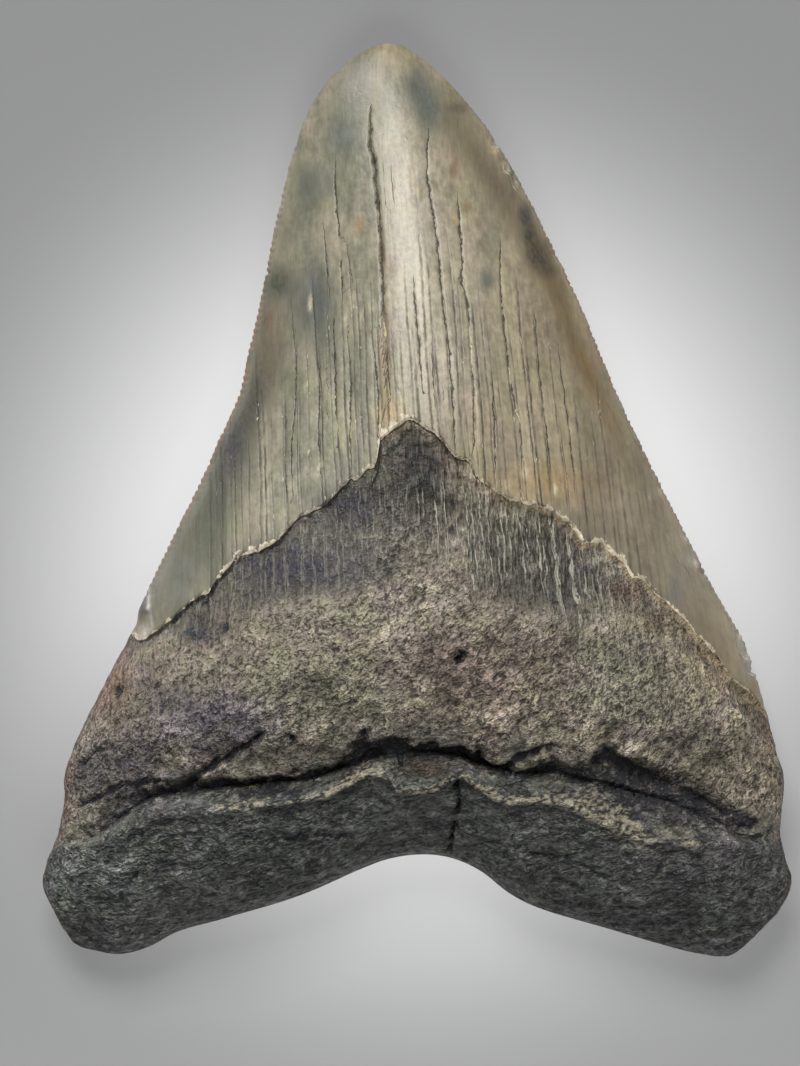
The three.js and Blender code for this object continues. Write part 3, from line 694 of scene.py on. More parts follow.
# Smaller spots, the same way
STAINS = [
    (0.0, 53.4, 1.9, 3.0, "#565B52", 0.9), (1.5, 50.4, 1.8, 3.6, "#545C57", 0.9),
    (-8.9, 47.6, 2.6, 4.4, "#5F6963", 0.8),
    (-13.3, 40.7, 2.6, 3.0, "#57625A", 0.65), (-18.0, 28.0, 2.3, 2.5, "#434A3B", 0.9),
    (-19.3, 23.3, 0.8, 1.2, "#70402F", 0.6), (-19.6, 20.5, 2.4, 5.0, "#6A6048", 0.6),
    (-24.3, 6.4, 1.9, 3.4, "#403E46", 0.9), (-13.3, 24.8, 3.2, 5.4, "#50575A", 0.8),
    (-13, 16, 4, 6, "#7A7964", 0.3), (-26, -4, 3, 5, "#5F6656", 0.55), (-6, 50, 3, 3, "#8C8A70", 0.5),
    (5.3, 50.9, 1.2, 0.8, "#57503F", 0.7), (14.1, 36.9, 0.9, 1.6, "#34363A", 0.95), (14.6, 34.4, 1.0, 1.6, "#35382F", 0.95),
    (15.7, 31.6, 1.8, 2.3, "#40372A", 0.95), (17.2, 29.6, 1.1, 0.9, "#4A4034", 0.7), (9.0, 28.2, 1.0, 1.4, "#59625C", 0.85),
    (9.6, 33.0, 1.2, 3.0, "#6E7266", 0.5), (-7.3, 35.2, 0.7, 1.2, "#9C8157", 0.75),
    (6.3, 37.7, 0.7, 0.6, "#8A6A48", 0.75), (-3.4, 29.9, 0.8, 1.6, "#86684A", 0.7),
    (0.5, 39.6, 0.5, 0.8, "#A8996A", 0.7), (4.9, 36.2, 0.5, 0.9, "#B49A70", 0.6),
    (4.9, 42.8, 0.5, 1.6, "#8C6C48", 0.6), (-3.3, 10.4, 2.0, 2.2, "#BDA474", 0.9),
    (-4.1, 18.5, 0.7, 6.5, "#8E6A3E", 0.6), (-4.5, 31.6, 0.5, 2.4, "#5E4630", 0.8),
    (8.9, 2.2, 0.9, 0.9, "#8A7D48", 0.8), (-31, -11, 3.2, 5, "#7A7C72", 0.75), (-36.3, -13.6, 1.0, 2.0, "#262D3A", 1), (-34.9, -14.2, 0.25, 2.8, "#D5D2CA", 1),
    (-35.5, -17.3, 0.8, 0.9, "#CFCBC0", 0.95),
    (-8.5, 25.8, 0.35, 0.8, "#DDD3B4", 1), (-13.8, 25.4, 0.3, 0.9, "#DDD3B4", 1),
    (-9.4, 22.8, 0.3, 0.6, "#DDD3B4", 0.9), (-12.6, 3.7, 0.3, 0.9, "#DDD3B4", 0.9),
    (-16.1, 1.8, 0.3, 0.7, "#DDD3B4", 0.9), (11.4, 1.8, 0.4, 0.6, "#DCD0AC", 0.9),
    (13.8, 3.1, 0.35, 0.7, "#DCD0AC", 0.9), (17.7, 1.1, 0.35, 0.7, "#DCD0AC", 0.9),
    (10.0, 45.6, 0.6, 0.7, "#C2AE74", 0.9), (11.4, 43.2, 0.6, 0.7, "#BFB08C", 0.8),
    (12.4, 42.2, 0.35, 2.2, "#57544A", 0.8),
    (-8.6, -1.3, 5.5, 3.2, "#302F3B", 0.95), (-15.5, -8.6, 8.5, 3.6, "#3A3946", 0.95),
    (-27, -15.5, 4, 1.8, "#54483A", 0.6), (-28.2, -17.4, 3.2, 1.6, "#24262E", 1), (0.5, 2, 5.0, 5.5, "#201F1C", 0.9),
    (-1.0, 5.5, 3.0, 4.0, "#191814", 0.95),
    (26.6, -12.2, 2.4, 1.6, "#6A4430", 0.7), (30.6, -16.0, 2.4, 1.8, "#664833", 0.7),
    (33.4, -11.5, 1.0, 2.2, "#75767A", 0.6), (43.6, -24.6, 0.8, 2.6, "#8C6A44", 0.7),
    # At the chips of the right edge the white spots are painted highlight on the glassy breaks, with their pale rims,
    # and the grey spot at x 35.5 is painted shade
    (42.1, -18.0, 0.4, 0.5, "#E8E0D4", 0.9), (41.9, -19.6, 0.35, 0.7, "#77604F", 0.8),
    (42.8, -20.9, 0.4, 0.4, "#EBE1D5", 0.9), (36.4, -8.5, 0.4, 0.5, "#E8E2D6", 0.9),
    (35.5, -8.0, 0.6, 0.6, "#A3A39C", 0.8), (35.0, -5.2, 0.3, 0.4, "#E0D6C0", 0.9),
    (30.2, 0.4, 0.25, 0.5, "#D5CDBC", 0.8), (31.7, 1.0, 0.3, 0.5, "#D9CEB2", 0.8),
    (13, -6.5, 9, 4.5, "#33342F", 0.6), (21, -10, 4, 3, "#2E2E38", 0.6),
    (17, -13.0, 10, 4.2, "#35322E", 0.8), (-17, -15.6, 9, 3.4, "#4A473F", 0.55),
    # The pale spot at x 0.8, y -13.2 is painted highlight on the root's boss
    (-2, -12.4, 13, 2.8, "#47433C", 0.5), (0.8, -13.2, 4.2, 1.9, "#8F8877", 0.6), (-12, -15.5, 6, 2.6, "#6E6A5A", 0.5),
    (-20, -21.0, 8, 3.0, "#6E6B5A", 0.5), (-26, -28.8, 10, 4.4, "#5E5862", 0.8), (-30.5, -26.4, 3.6, 2.2, "#4A464B", 0.6), (-39.5, -35.5, 7, 4.6, "#3F3B44", 0.85),
    (-38, -26, 5, 7, "#4C4244", 0.5), (41.0, -35, 6, 7.5, "#6E6855", 0.6), (-40, -23.5, 3.2, 4.5, "#775945", 0.75), (34, -31, 5, 4, "#5A5650", 0.4),
    (8, -23, 10, 6, "#6F5F52", 0.65), (24, -24, 6, 5, "#6B6A58", 0.5), (-12, -24, 9, 5, "#5F6049", 0.6), (31, -21, 8, 7, "#5C5B49", 0.6),
    (1.0, -34.9, 3.2, 0.9, "#5E4930", 0.8), (32.9, -43.0, 3.0, 1.0, "#7C7656", 0.6),
    (30.3, -45.4, 1.6, 0.7, "#827A58", 0.5), (-31.5, -37.0, 1.5, 0.7, "#86804E", 0.6),
    (-21.5, -38.0, 1.6, 0.7, "#85804F", 0.6), (45.6, -28.8, 1.2, 6.0, "#74543A", 0.5),
    (-41, -48, 6, 4.5, "#5E635E", 0.6), (-22, -46, 9, 4.5, "#2E322E", 0.65), (36, -52, 9, 4.5, "#2B2D2B", 0.65),
    (-46.0, -36, 1.6, 7, "#6E4C3E", 0.55), (36, -45, 8, 3.5, "#5A545A", 0.5), (31, -39.5, 9, 2.2, "#494147", 0.7),
    (36.9, -9.4, 0.4, 0.5, "#8C7466", 0.7),
]
# Bands of colour that follow the cutting edges: side, distance, width, height, half length, colour, strength
MARGIN_BANDS = [
    (1, 3.4, 2.2, 42, 8, "#625844", 0.85), (1, 2.0, 1.5, 31, 6.5, "#6A5536", 0.7), (1, 2.5, 1.6, 17, 9, "#6E5628", 0.85),
    (-1, 2.2, 2.2, 12, 9, "#3F3D36", 0.90), (-1, 3.0, 3.6, -4, 11, "#4C5142", 0.80),
    (-1, 1.6, 1.8, 34, 12, "#6C6E5C", 0.45),
]
tone = np.zeros((len(x), 4), np.float32)


def lay_stain(cover, colour):
    """Paints a colour over the stains that are there, by a cover from 0 to 1 at each point."""
    return tone * (1 - cover[:, None]) + cover[:, None] * np.array([*linear(colour), 1.0])


for stain_x, stain_y, half_width, half_length, colour, strength in WASHES:
    reach = ((x - stain_x) / half_width) ** 2 + ((y - stain_y) / half_length) ** 2
    tone = lay_stain(strength * np.exp(-reach ** 1.3), colour)
tone = lay_stain(0.5 * band * ramp(6.0, -4.0, x), "#3C3A37")
for edge_side, distance, width, height, half_length, colour, strength in MARGIN_BANDS:
    edge = RIGHT_EDGE if edge_side > 0 else LEFT_EDGE
    inward = (smooth(edge, y) - x) * edge_side * 0.9
    tone = lay_stain(strength * bump(inward - distance, width) * bump(y - height, half_length) ** 0.7, colour)
spots_shown = np.where(on_back, 0.35, 1)      # the spots of the other face are its own
for stain_x, stain_y, half_width, half_length, colour, strength in STAINS:
    reach = ((x - stain_x) / half_width) ** 2 + ((y - stain_y) / half_length) ** 2
    tone = lay_stain(strength * spots_shown * np.exp(-reach ** 1.3), colour)
print("washes:", len(WASHES), "bands:", len(MARGIN_BANDS), "spots:", len(STAINS))

# Where the root's flecks, worn pale and partly painted highlight, are brighter than elsewhere, as x, y, half width,
# half length and amount
FLECK_PATCHES = [
    # The first patch, on the root's boss, is painted highlight
    (0.0, -12.8, 5, 2.6, 0.32), (17, -13.0, 10, 4.5, -0.35), (-40, -46, 7, 5, 0.6), (-20, -40.5, 14, 2.5, 0.3), (24, -22, 6, 6, 0.25),
    (8, -4.5, 9, 3.5, 0.30), (6, -29, 8, 2.0, 0.35), (25, -42, 8, 3, 0.30), (-18, -16, 9, 4, -0.15),
    (-11, 1, 6, 4, -0.40), (-18, -9, 9, 4, -0.35), (-39, -35.5, 7, 4, -0.3), (0, 4, 5, 5.5, -0.35), (36, -36, 8, 4, -0.15),
    (-26, -25, 14, 8, -0.20), (-28, -17.4, 3.6, 2.2, -0.35), (-36, -23, 4, 5, -0.2), (36, -23, 6, 5, -0.2),
]
flecks = 0.5 + 0.25 * lumps
for patch_x, patch_y, half_width, half_length, amount in FLECK_PATCHES:
    flecks += amount * bump(x - patch_x, half_width) * bump(y - patch_y, half_length)
fresh_band = band * ramp(-2.0, -9.0, x)
# How wide the bright lip is along the enamel's foot, as x and mm
FOOT_LIP = [
    (-36.9, 0.25), (-31, 0.35), (-26.5, 0.45), (-24, 0.75), (-20, 0.7), (-18, 0.45), (-14, 0.38), (-10, 0.35),
    (-6.4, 0.4), (-5.0, 0.7), (-3.6, 1.2), (-2.0, 1.0), (0.0, 0.5), (3.0, 0.25), (8.0, 0.26), (11.0, 0.4),
    (16.0, 0.5), (19.2, 0.4), (22.0, 0.6), (27.0, 0.5), (31.0, 0.4), (38.0, 0.3), (45.2, 0.15),
]
foot_lip = smooth(FOOT_LIP, x)


def write_marks(name, kind, values, field):
    layer = tooth_mesh.attributes.new(name, kind, "POINT")
    layer.data.foreach_set(field, np.ascontiguousarray(values, np.float32).ravel())


enamel_edge = np.where(on_back, smooth(OUTER_ENAMEL_LINE, x), smooth(torn_enamel_line, x))
edge_slope = np.gradient(smooth(ENAMEL_LINE, tear_x), tear_x)
above_enamel = (y - enamel_edge) / np.hypot(1, np.interp(x, tear_x, edge_slope))
GROWTH_LEAN, GROWTH_FAN = 0.07, 0.0018      # the growth lines lean, and fan out from left to right
growth = np.stack([x + y * (GROWTH_LEAN + GROWTH_FAN * x) + 200 * on_back, y, z], axis=1)
write_marks("tone", "FLOAT_COLOR", tone, "color")
write_marks("zone", "FLOAT_VECTOR", np.stack([row, above_enamel, edge_distance], axis=1), "vector")
write_marks("growth", "FLOAT_VECTOR", growth, "vector")
write_marks("cracks_a", "FLOAT_VECTOR", crack_marks[0], "vector")
write_marks("cracks_b", "FLOAT_VECTOR", crack_marks[1], "vector")
# The painted shade of crevices and pits, with the pale lip and the chips
write_marks("shade_and_wear", "FLOAT_VECTOR", np.stack([hollow_shade, pale_lip, chip_marks], axis=1), "vector")
write_marks("foot", "FLOAT_VECTOR", np.stack([foot_lip, chip_marks, lip_away], axis=1), "vector")
# The dentine paints the root lighter on its crests and darker in its hollows from this height: painted highlight and
# shade on the relief
crest_height = roughness - 0.35 * (ramp(0.0, 3.0, above_shoulder) * on_front - band)
write_marks("crests", "FLOAT_VECTOR", np.stack([crest_height, fresh_band, flecks], axis=1), "vector")
print("marks:", [layer.name for layer in tooth_mesh.attributes if not layer.is_internal])

# %% [markdown]
# Building materials from nodes
#
# One small function adds a node, sets its options and fills its inputs with a value or a link. It
# returns the output that is used next, so a material reads like a recipe.

# %% Adding nodes
FACTOR, COLOUR_A, COLOUR_B, MIXED = 0, 6, 7, 2      # sockets of a Mix node that mixes colours
MM = 0.001


def add_node(tree, kind, inputs, out=0, **settings):
    node = tree.nodes.new("ShaderNode" + kind)
    for name, value in settings.items():
        setattr(node, name, value)
    for key, value in inputs.items():
        if isinstance(value, bpy.types.NodeSocket):
            tree.links.new(value, node.inputs[key])
        else:
            node.inputs[key].default_value = value
    return node.outputs[out]


def paint(code):
    return [*linear(code), 1.0]


# %% [markdown]
# Fossil enameloid
#
# Shark enameloid is fluorapatite, dense and polished by use. As a fossil it keeps a satin gloss over
# cloudy olive, grey and tan, and it is split into narrow strips by dark lines that run up the tooth. So
# the material has a satin roughness, stretched streaks, lines of uneven length, and the cracks that the
# mesh has too, drawn crisper from the distance that each point keeps to its crack.

# %% Enameloid
enamel = bpy.data.materials.new("fossil_enameloid")
enamel.use_nodes = True
tree = enamel.node_tree
growth = add_node(tree, "Attribute", {}, "Vector", attribute_name="growth")
growth_x = add_node(tree, "SeparateXYZ", {0: growth})
growth_y = growth_x.node.outputs[1]
row_mark = add_node(tree, "SeparateXYZ", {
    0: add_node(tree, "Attribute", {}, "Vector", attribute_name="zone")})
above_foot, from_edge = row_mark.node.outputs[1], row_mark.node.outputs[2]
hollow_shade_mark = add_node(tree, "SeparateXYZ", {
    0: add_node(tree, "Attribute", {}, "Vector", attribute_name="shade_and_wear")})
chip_mark = hollow_shade_mark.node.outputs[2]


def grain(tree, vector, size, detail, turn=0.0, twist=0.0):
    """Fractal noise whose grain has a size along each axis, in the vector's own units."""
    stretched = add_node(tree, "Mapping", {
        "Vector": vector, "Scale": size, "Rotation": (0, 0, math.radians(turn)),
    }, vector_type="TEXTURE")
    return add_node(tree, "TexNoise", {
        "Vector": stretched, "Scale": 1, "Detail": detail, "Distortion": twist})


clouds = grain(tree, growth, (4, 13, 9), 4, twist=0.4)
streaks = grain(tree, growth, (0.5, 12, 60), 2)
mottle = grain(tree, growth, (1.0, 1.6, 1.4), 4)
pebbles = grain(tree, growth, (0.55, 0.65, 0.6), 2)
specks = grain(tree, growth, (0.25, 0.5, 0.5), 1)
fibres = grain(tree, growth, (0.32, 2.4, 60), 2)

warm_side = add_node(tree, "MapRange", {0: growth_x, 1: -8.0, 2: 14.0})
colour = add_node(tree, "Mix", {
    FACTOR: warm_side, COLOUR_A: paint("#8F8D78"), COLOUR_B: paint("#9A8F76"),
}, MIXED, data_type="RGBA")
cloud_share = add_node(tree, "MapRange", {0: clouds, 1: 0.36, 2: 0.64, 4: 0.7}, interpolation_type="SMOOTHSTEP")
colour = add_node(tree, "Mix", {
    FACTOR: cloud_share, COLOUR_A: colour, COLOUR_B: paint("#A89D83"),
}, MIXED, data_type="RGBA")

# %% Stains on the enameloid


def stained(tree, colour, breakup):
    """Lays the painted stains over a colour, with borders broken by a noise."""
    tone = add_node(tree, "Attribute", {}, "Color", attribute_name="tone")
    ragged = add_node(tree, "MapRange", {0: breakup, 1: 0.3, 2: 0.6, 3: 0.58, 4: 1.06})
    cover = add_node(tree, "Math", {0: tone.node.outputs["Alpha"], 1: ragged}, operation="MULTIPLY")
    bare = add_node(tree, "Math", {0: 1.0, 1: cover}, operation="SUBTRACT", use_clamp=True)
    kept = add_node(tree, "VectorMath", {0: colour, "Scale": bare}, operation="SCALE")
    laid = add_node(tree, "VectorMath", {0: tone, "Scale": ragged}, operation="SCALE")
    return add_node(tree, "VectorMath", {0: kept, 1: laid}, operation="ADD")


stain_breakup = add_node(tree, "Math", {0: mottle, 1: pebbles}, operation="ADD")
stain_breakup = add_node(tree, "Math", {0: stain_breakup, 1: 0.5}, operation="MULTIPLY")
colour = stained(tree, colour, stain_breakup)
tint = grain(tree, growth, (3.0, 5.0, 4.0), 3, twist=0.6)
tint_share = add_node(tree, "MapRange", {0: tint, 1: 0.38, 2: 0.62})
tint = add_node(tree, "Mix", {FACTOR: tint_share, COLOUR_A: (0.98, 1.0, 0.94, 1), COLOUR_B: (1.02, 0.99, 1.03, 1)},
                MIXED, data_type="RGBA")
colour = add_node(tree, "VectorMath", {0: colour, 1: tint}, operation="MULTIPLY")
SHADES = [(clouds, 0.84, 1.14), (mottle, 0.80, 1.17), (pebbles, 0.89, 1.09), (fibres, 0.91, 1.08)]
for pattern, darkest, brightest in SHADES:
    shade = add_node(tree, "MapRange", {0: pattern, 1: 0.3, 2: 0.7, 3: darkest, 4: brightest})
    colour = add_node(tree, "VectorMath", {0: colour, "Scale": shade}, operation="SCALE")

# %% [markdown]
# Growth lines
#
# The lower half of the crown is ruled with fine dark lines, a millimetre or so apart and each of its own
# length. A one-dimensional Voronoi pattern across the tooth gives exactly that: its cells have uneven
# widths, the distance to a cell's point draws the line, and the cell's random colour sets how far up
# that line runs, how wide it is and how dark.

# %% Growth lines
LINE_PITCH = 0.98
line_wander = grain(tree, growth, (6, 16, 900), 1)
fine_wander = grain(tree, growth, (0.9, 1.8, 900), 2)
wander_mm = add_node(tree, "MapRange", {0: line_wander, 3: -0.5, 4: 0.5}, clamp=False)
wander_mm = add_node(tree, "Math", {0: fine_wander, 1: 0.22, 2: wander_mm}, operation="MULTIPLY_ADD")
across_lines = add_node(tree, "Math", {0: growth_x, 1: wander_mm}, operation="ADD")
across_lines = add_node(tree, "Math", {0: across_lines, 1: LINE_PITCH}, operation="DIVIDE")
to_line = add_node(tree, "TexVoronoi", {"W": across_lines, "Scale": 1, "Randomness": 0.85},
                   voronoi_dimensions="1D", feature="F1")
chance = add_node(tree, "SeparateColor", {0: to_line.node.outputs["Color"]})
chance_width, chance_tone = chance.node.outputs[1], chance.node.outputs[2]

top = add_node(tree, "Math", {0: growth_x, 1: growth_x}, operation="MULTIPLY")
top = add_node(tree, "Math", {0: top, 1: -0.026, 2: 22.0}, operation="MULTIPLY_ADD")
top = add_node(tree, "Math", {0: chance, 1: 15.0, 2: top}, operation="MULTIPLY_ADD")
full = add_node(tree, "Math", {0: top, 1: 5.0}, operation="SUBTRACT")
reached = add_node(tree, "MapRange", {0: growth_y, 1: top, 2: full})
for bare, ruled in ((33.0, 24.0), (-30.0, -24.0)):
    smooth_foot = add_node(tree, "MapRange", {0: growth_x, 1: bare, 2: ruled, 3: 0.12})
    reached = add_node(tree, "Math", {0: reached, 1: smooth_foot}, operation="MULTIPLY")
width = add_node(tree, "MapRange", {0: specks, 1: 0.3, 2: 0.7, 3: 0.10, 4: 0.25})
width = add_node(tree, "Math", {0: chance_width, 1: 0.09, 2: width}, operation="MULTIPLY_ADD")
core = add_node(tree, "Math", {0: width, 1: 0.1}, operation="MULTIPLY")
line = add_node(tree, "MapRange", {0: to_line, 1: width, 2: core})
depth_share = add_node(tree, "MapRange", {0: chance_width, 3: 0.42, 4: 0.94})
line = add_node(tree, "Math", {0: line, 1: depth_share}, operation="MULTIPLY")
line = add_node(tree, "Math", {0: line, 1: reached}, operation="MULTIPLY")
breaks = grain(tree, growth, (0.7, 3.0, 900), 2)
breaks = add_node(tree, "MapRange", {0: breaks, 1: 0.36, 2: 0.58, 3: 0.30, 4: 1.10})
line = add_node(tree, "Math", {0: line, 1: breaks}, operation="MULTIPLY")
strip_tone = add_node(tree, "MapRange", {0: chance_tone, 3: 0.90, 4: 1.22})
strip_tone = add_node(tree, "Mix", {0: reached, 2: 1.0, 3: strip_tone}, data_type="FLOAT")
colour = add_node(tree, "VectorMath", {0: colour, "Scale": strip_tone}, operation="SCALE")

# %% Cracks
# Bright grains that sit in the growth lines here and there
glint = grain(tree, growth, (0.18, 0.9, 0.5), 1)
glint = add_node(tree, "MapRange", {0: glint, 1: 0.62, 2: 0.66})
glint_runs = grain(tree, growth, (1.6, 3.0, 900), 1)
for mark, hidden, shown in ((to_line, 0.30, 0.16), (glint_runs, 0.60, 0.66), (reached, 0.5, 1.0)):
    limit = add_node(tree, "MapRange", {0: mark, 1: hidden, 2: shown})
    glint = add_node(tree, "Math", {0: glint, 1: limit}, operation="MULTIPLY")
pale_fill = glint
for name in ("cracks_a", "cracks_b"):
    offset = add_node(tree, "SeparateXYZ", {
        0: add_node(tree, "Attribute", {}, "Vector", attribute_name=name)})
    half_width, filled = offset.node.outputs[1], offset.node.outputs[2]
    jag = add_node(tree, "MapRange", {0: specks, 3: -1.4, 4: 1.4}, clamp=False)
    jag = add_node(tree, "Math", {0: jag, 1: half_width}, operation="MULTIPLY")
    away = add_node(tree, "Math", {0: offset, 1: jag}, operation="ADD")
    away = add_node(tree, "Math", {0: away}, operation="ABSOLUTE")
    inner = add_node(tree, "Math", {0: half_width, 1: 0.5}, operation="MULTIPLY")
    crack = add_node(tree, "MapRange", {0: away, 1: half_width, 2: inner})
    rim_width = add_node(tree, "Math", {0: half_width, 1: 2.2}, operation="MULTIPLY")
    rim = add_node(tree, "MapRange", {0: away, 1: rim_width, 2: half_width, 4: 0.30})
    patchy = add_node(tree, "MapRange", {0: mottle, 1: 0.44, 2: 0.52})
    crust = add_node(tree, "Math", {0: crack, 1: filled}, operation="MULTIPLY")
    crust = add_node(tree, "Math", {0: crust, 1: patchy}, operation="MULTIPLY")
    crack = add_node(tree, "Math", {0: crack, 1: rim}, operation="MAXIMUM")
    line = add_node(tree, "Math", {0: line, 1: crack}, operation="MAXIMUM")
    pale_fill = add_node(tree, "Math", {0: pale_fill, 1: crust}, operation="MAXIMUM")

ink = add_node(tree, "Math", {0: line, 1: 0.86}, operation="MULTIPLY")
colour = add_node(tree, "Mix", {FACTOR: ink, COLOUR_A: colour, COLOUR_B: paint("#2A2318")},
                  MIXED, data_type="RGBA")
colour = add_node(tree, "Mix", {FACTOR: pale_fill, COLOUR_A: colour, COLOUR_B: paint("#DCCFA8")},
                  MIXED, data_type="RGBA")

# %% [markdown]
# Where the enameloid ends
#
# At its foot the enameloid is broken off in a thin bright lip, with small dark nicks of painted shade
# along its very foot. Along the cutting edges the serrations are worn to a pinkish brown, and a fresh chip
# shows the pale inside. Each is a narrow band of a distance that the mesh carries, with a border that
# noise makes uneven.

# %% Edges of the enameloid
foot_mark = add_node(tree, "SeparateXYZ", {
    0: add_node(tree, "Attribute", {}, "Vector", attribute_name="foot")})
splinters = grain(tree, growth, (0.30, 0.45, 0.6), 2)
eaten = add_node(tree, "MapRange", {0: splinters, 1: 0.35, 2: 0.65, 3: -0.18, 4: 0.14})
lip_share = add_node(tree, "MapRange", {0: mottle, 1: 0.40, 2: 0.60, 3: 0.3, 4: 1.4})
lip_top = add_node(tree, "Math", {0: foot_mark, 1: lip_share, 2: eaten}, operation="MULTIPLY_ADD")
lip_soft = add_node(tree, "Math", {0: lip_top, 1: 0.14}, operation="SUBTRACT")
lip = add_node(tree, "MapRange", {0: above_foot, 1: lip_top, 2: lip_soft})
lip_runs = grain(tree, growth, (1.9, 1.9, 1.9), 2)
lip_shown = add_node(tree, "MapRange", {0: lip_runs, 1: 0.40, 2: 0.56, 3: 0.55, 4: 1.0})
lip = add_node(tree, "Math", {0: lip, 1: lip_shown}, operation="MULTIPLY")
lip_tone = add_node(tree, "MapRange", {0: pebbles, 1: 0.35, 2: 0.65, 3: 0.72, 4: 1.22})
lip_colour = add_node(tree, "VectorMath", {0: linear("#EADCC0"), "Scale": lip_tone}, operation="SCALE")
colour = add_node(tree, "Mix", {FACTOR: lip, COLOUR_A: colour, COLOUR_B: lip_colour},
                  MIXED, data_type="RGBA")
# Painted shade: small dark nicks at the very foot of the enameloid
foot_nick_shade = add_node(tree, "Math", {0: above_foot, 1: eaten}, operation="LESS_THAN")
foot_nick_shade_left = add_node(tree, "MapRange", {0: growth_x, 1: 18.0, 2: 10.0, 3: 0.1, 4: 0.9})
foot_nick_shade = add_node(tree, "Math", {0: foot_nick_shade, 1: foot_nick_shade_left}, operation="MULTIPLY")
colour = add_node(tree, "Mix", {FACTOR: foot_nick_shade, COLOUR_A: colour, COLOUR_B: paint("#2A231B")},
                  MIXED, data_type="RGBA")
edge_width = add_node(tree, "MapRange", {0: mottle, 1: 0.35, 2: 0.7, 3: 0.1, 4: 1.2})
edge_wear = add_node(tree, "MapRange", {0: from_edge, 1: edge_width, 2: 0.0})
edge_low = add_node(tree, "MapRange", {0: growth_y, 1: 38.0, 2: 22.0, 3: 0.1, 4: 0.8})
edge_wear = add_node(tree, "Math", {0: edge_wear, 1: edge_low}, operation="MULTIPLY")
edge_foot = add_node(tree, "MapRange", {0: growth_y, 1: -12.0, 2: -2.0, 3: 0.3})
edge_wear = add_node(tree, "Math", {0: edge_wear, 1: edge_foot}, operation="MULTIPLY")
colour = add_node(tree, "Mix", {FACTOR: edge_wear, COLOUR_A: colour, COLOUR_B: paint("#A07866")},
                  MIXED, data_type="RGBA")
chip_tone = add_node(tree, "MapRange", {0: pebbles, 1: 0.35, 2: 0.65, 3: 0.70, 4: 1.10})
chip_colour = add_node(tree, "VectorMath", {0: linear("#C8C0AE"), "Scale": chip_tone}, operation="SCALE")
colour = add_node(tree, "Mix", {FACTOR: chip_mark, COLOUR_A: colour, COLOUR_B: chip_colour},
                  MIXED, data_type="RGBA")
# Painted shade in the pits of the crown
colour = add_node(tree, "Mix", {FACTOR: hollow_shade_mark, COLOUR_A: colour, COLOUR_B: paint("#2A251E")},
                  MIXED, data_type="RGBA")

relief = add_node(tree, "Math", {0: pebbles, 1: 0.7, 2: mottle}, operation="MULTIPLY_ADD")
relief = add_node(tree, "Math", {0: streaks, 1: 0.4, 2: relief}, operation="MULTIPLY_ADD")
relief = add_node(tree, "Math", {0: line, 1: -2.0, 2: relief}, operation="MULTIPLY_ADD")
ENAMEL_GRAIN_DEPTH = 0.05
bumps = add_node(tree, "Bump", {"Height": relief, "Strength": 1.0, "Distance": ENAMEL_GRAIN_DEPTH * MM},
                 "Normal")
gloss = add_node(tree, "MapRange", {0: mottle, 1: 0.3, 2: 0.7, 3: 0.30, 4: 0.46})
gloss = add_node(tree, "Math", {0: line, 1: 0.3, 2: gloss}, operation="MULTIPLY_ADD")
tip_wear = add_node(tree, "MapRange", {0: growth_y, 1: 50.0, 2: 58.0, 4: 0.15})
gloss = add_node(tree, "Math", {0: gloss, 1: tip_wear}, operation="ADD")
gloss = add_node(tree, "Mix", {0: chip_mark, 2: gloss, 3: 0.18}, data_type="FLOAT")
shader = tree.nodes["Principled BSDF"]
shader.inputs["IOR"].default_value = 1.62
tree.links.new(colour, shader.inputs["Base Color"])
tree.links.new(gloss, shader.inputs["Roughness"])
tree.links.new(bumps, shader.inputs["Normal"])
print("enameloid nodes:", len(tree.nodes))

# %% [markdown]
# Fossil root dentine
#
# The root is bone-like dentine, turned to stone. It is matt and rough, with pale flecks on dark ground:
# worn crests that also carry painted highlight. The flecks are short wrinkles that turn with the root:
# upright below the enamel, slanting over its middle, and level on the lobes. Three stretched noises give
# the three directions, and the row that each point belongs to mixes them.

# %% Root dentine
dentine = bpy.data.materials.new("fossil_root_dentine")
dentine.use_nodes = True
tree = dentine.node_tree
here = add_node(tree, "TexCoord", {}, "Object")
row_mark = add_node(tree, "SeparateXYZ", {
    0: add_node(tree, "Attribute", {}, "Vector", attribute_name="zone")})
above_foot, from_edge = row_mark.node.outputs[1], row_mark.node.outputs[2]
hollow_shade_mark = add_node(tree, "SeparateXYZ", {
    0: add_node(tree, "Attribute", {}, "Vector", attribute_name="shade_and_wear")})
lip_mark, chip_mark = hollow_shade_mark.node.outputs[1], hollow_shade_mark.node.outputs[2]
growth = add_node(tree, "Attribute", {}, "Vector", attribute_name="growth")
growth_x = add_node(tree, "SeparateXYZ", {0: growth})
growth_y = growth_x.node.outputs[1]

crest_shade_mark = add_node(tree, "SeparateXYZ", {
    0: add_node(tree, "Attribute", {}, "Vector", attribute_name="crests")})
band_mark, fleck_mark = crest_shade_mark.node.outputs[1], crest_shade_mark.node.outputs[2]



def pebbled(tree, vector, size, turn):
    """Distance to the nearest of many scattered points, which makes grains with dark gaps."""
    stretched = add_node(tree, "Mapping", {
        "Vector": vector, "Scale": size, "Rotation": (0, 0, math.radians(turn)),
    }, vector_type="TEXTURE")
    return add_node(tree, "TexVoronoi", {"Vector": stretched, "Scale": 1})


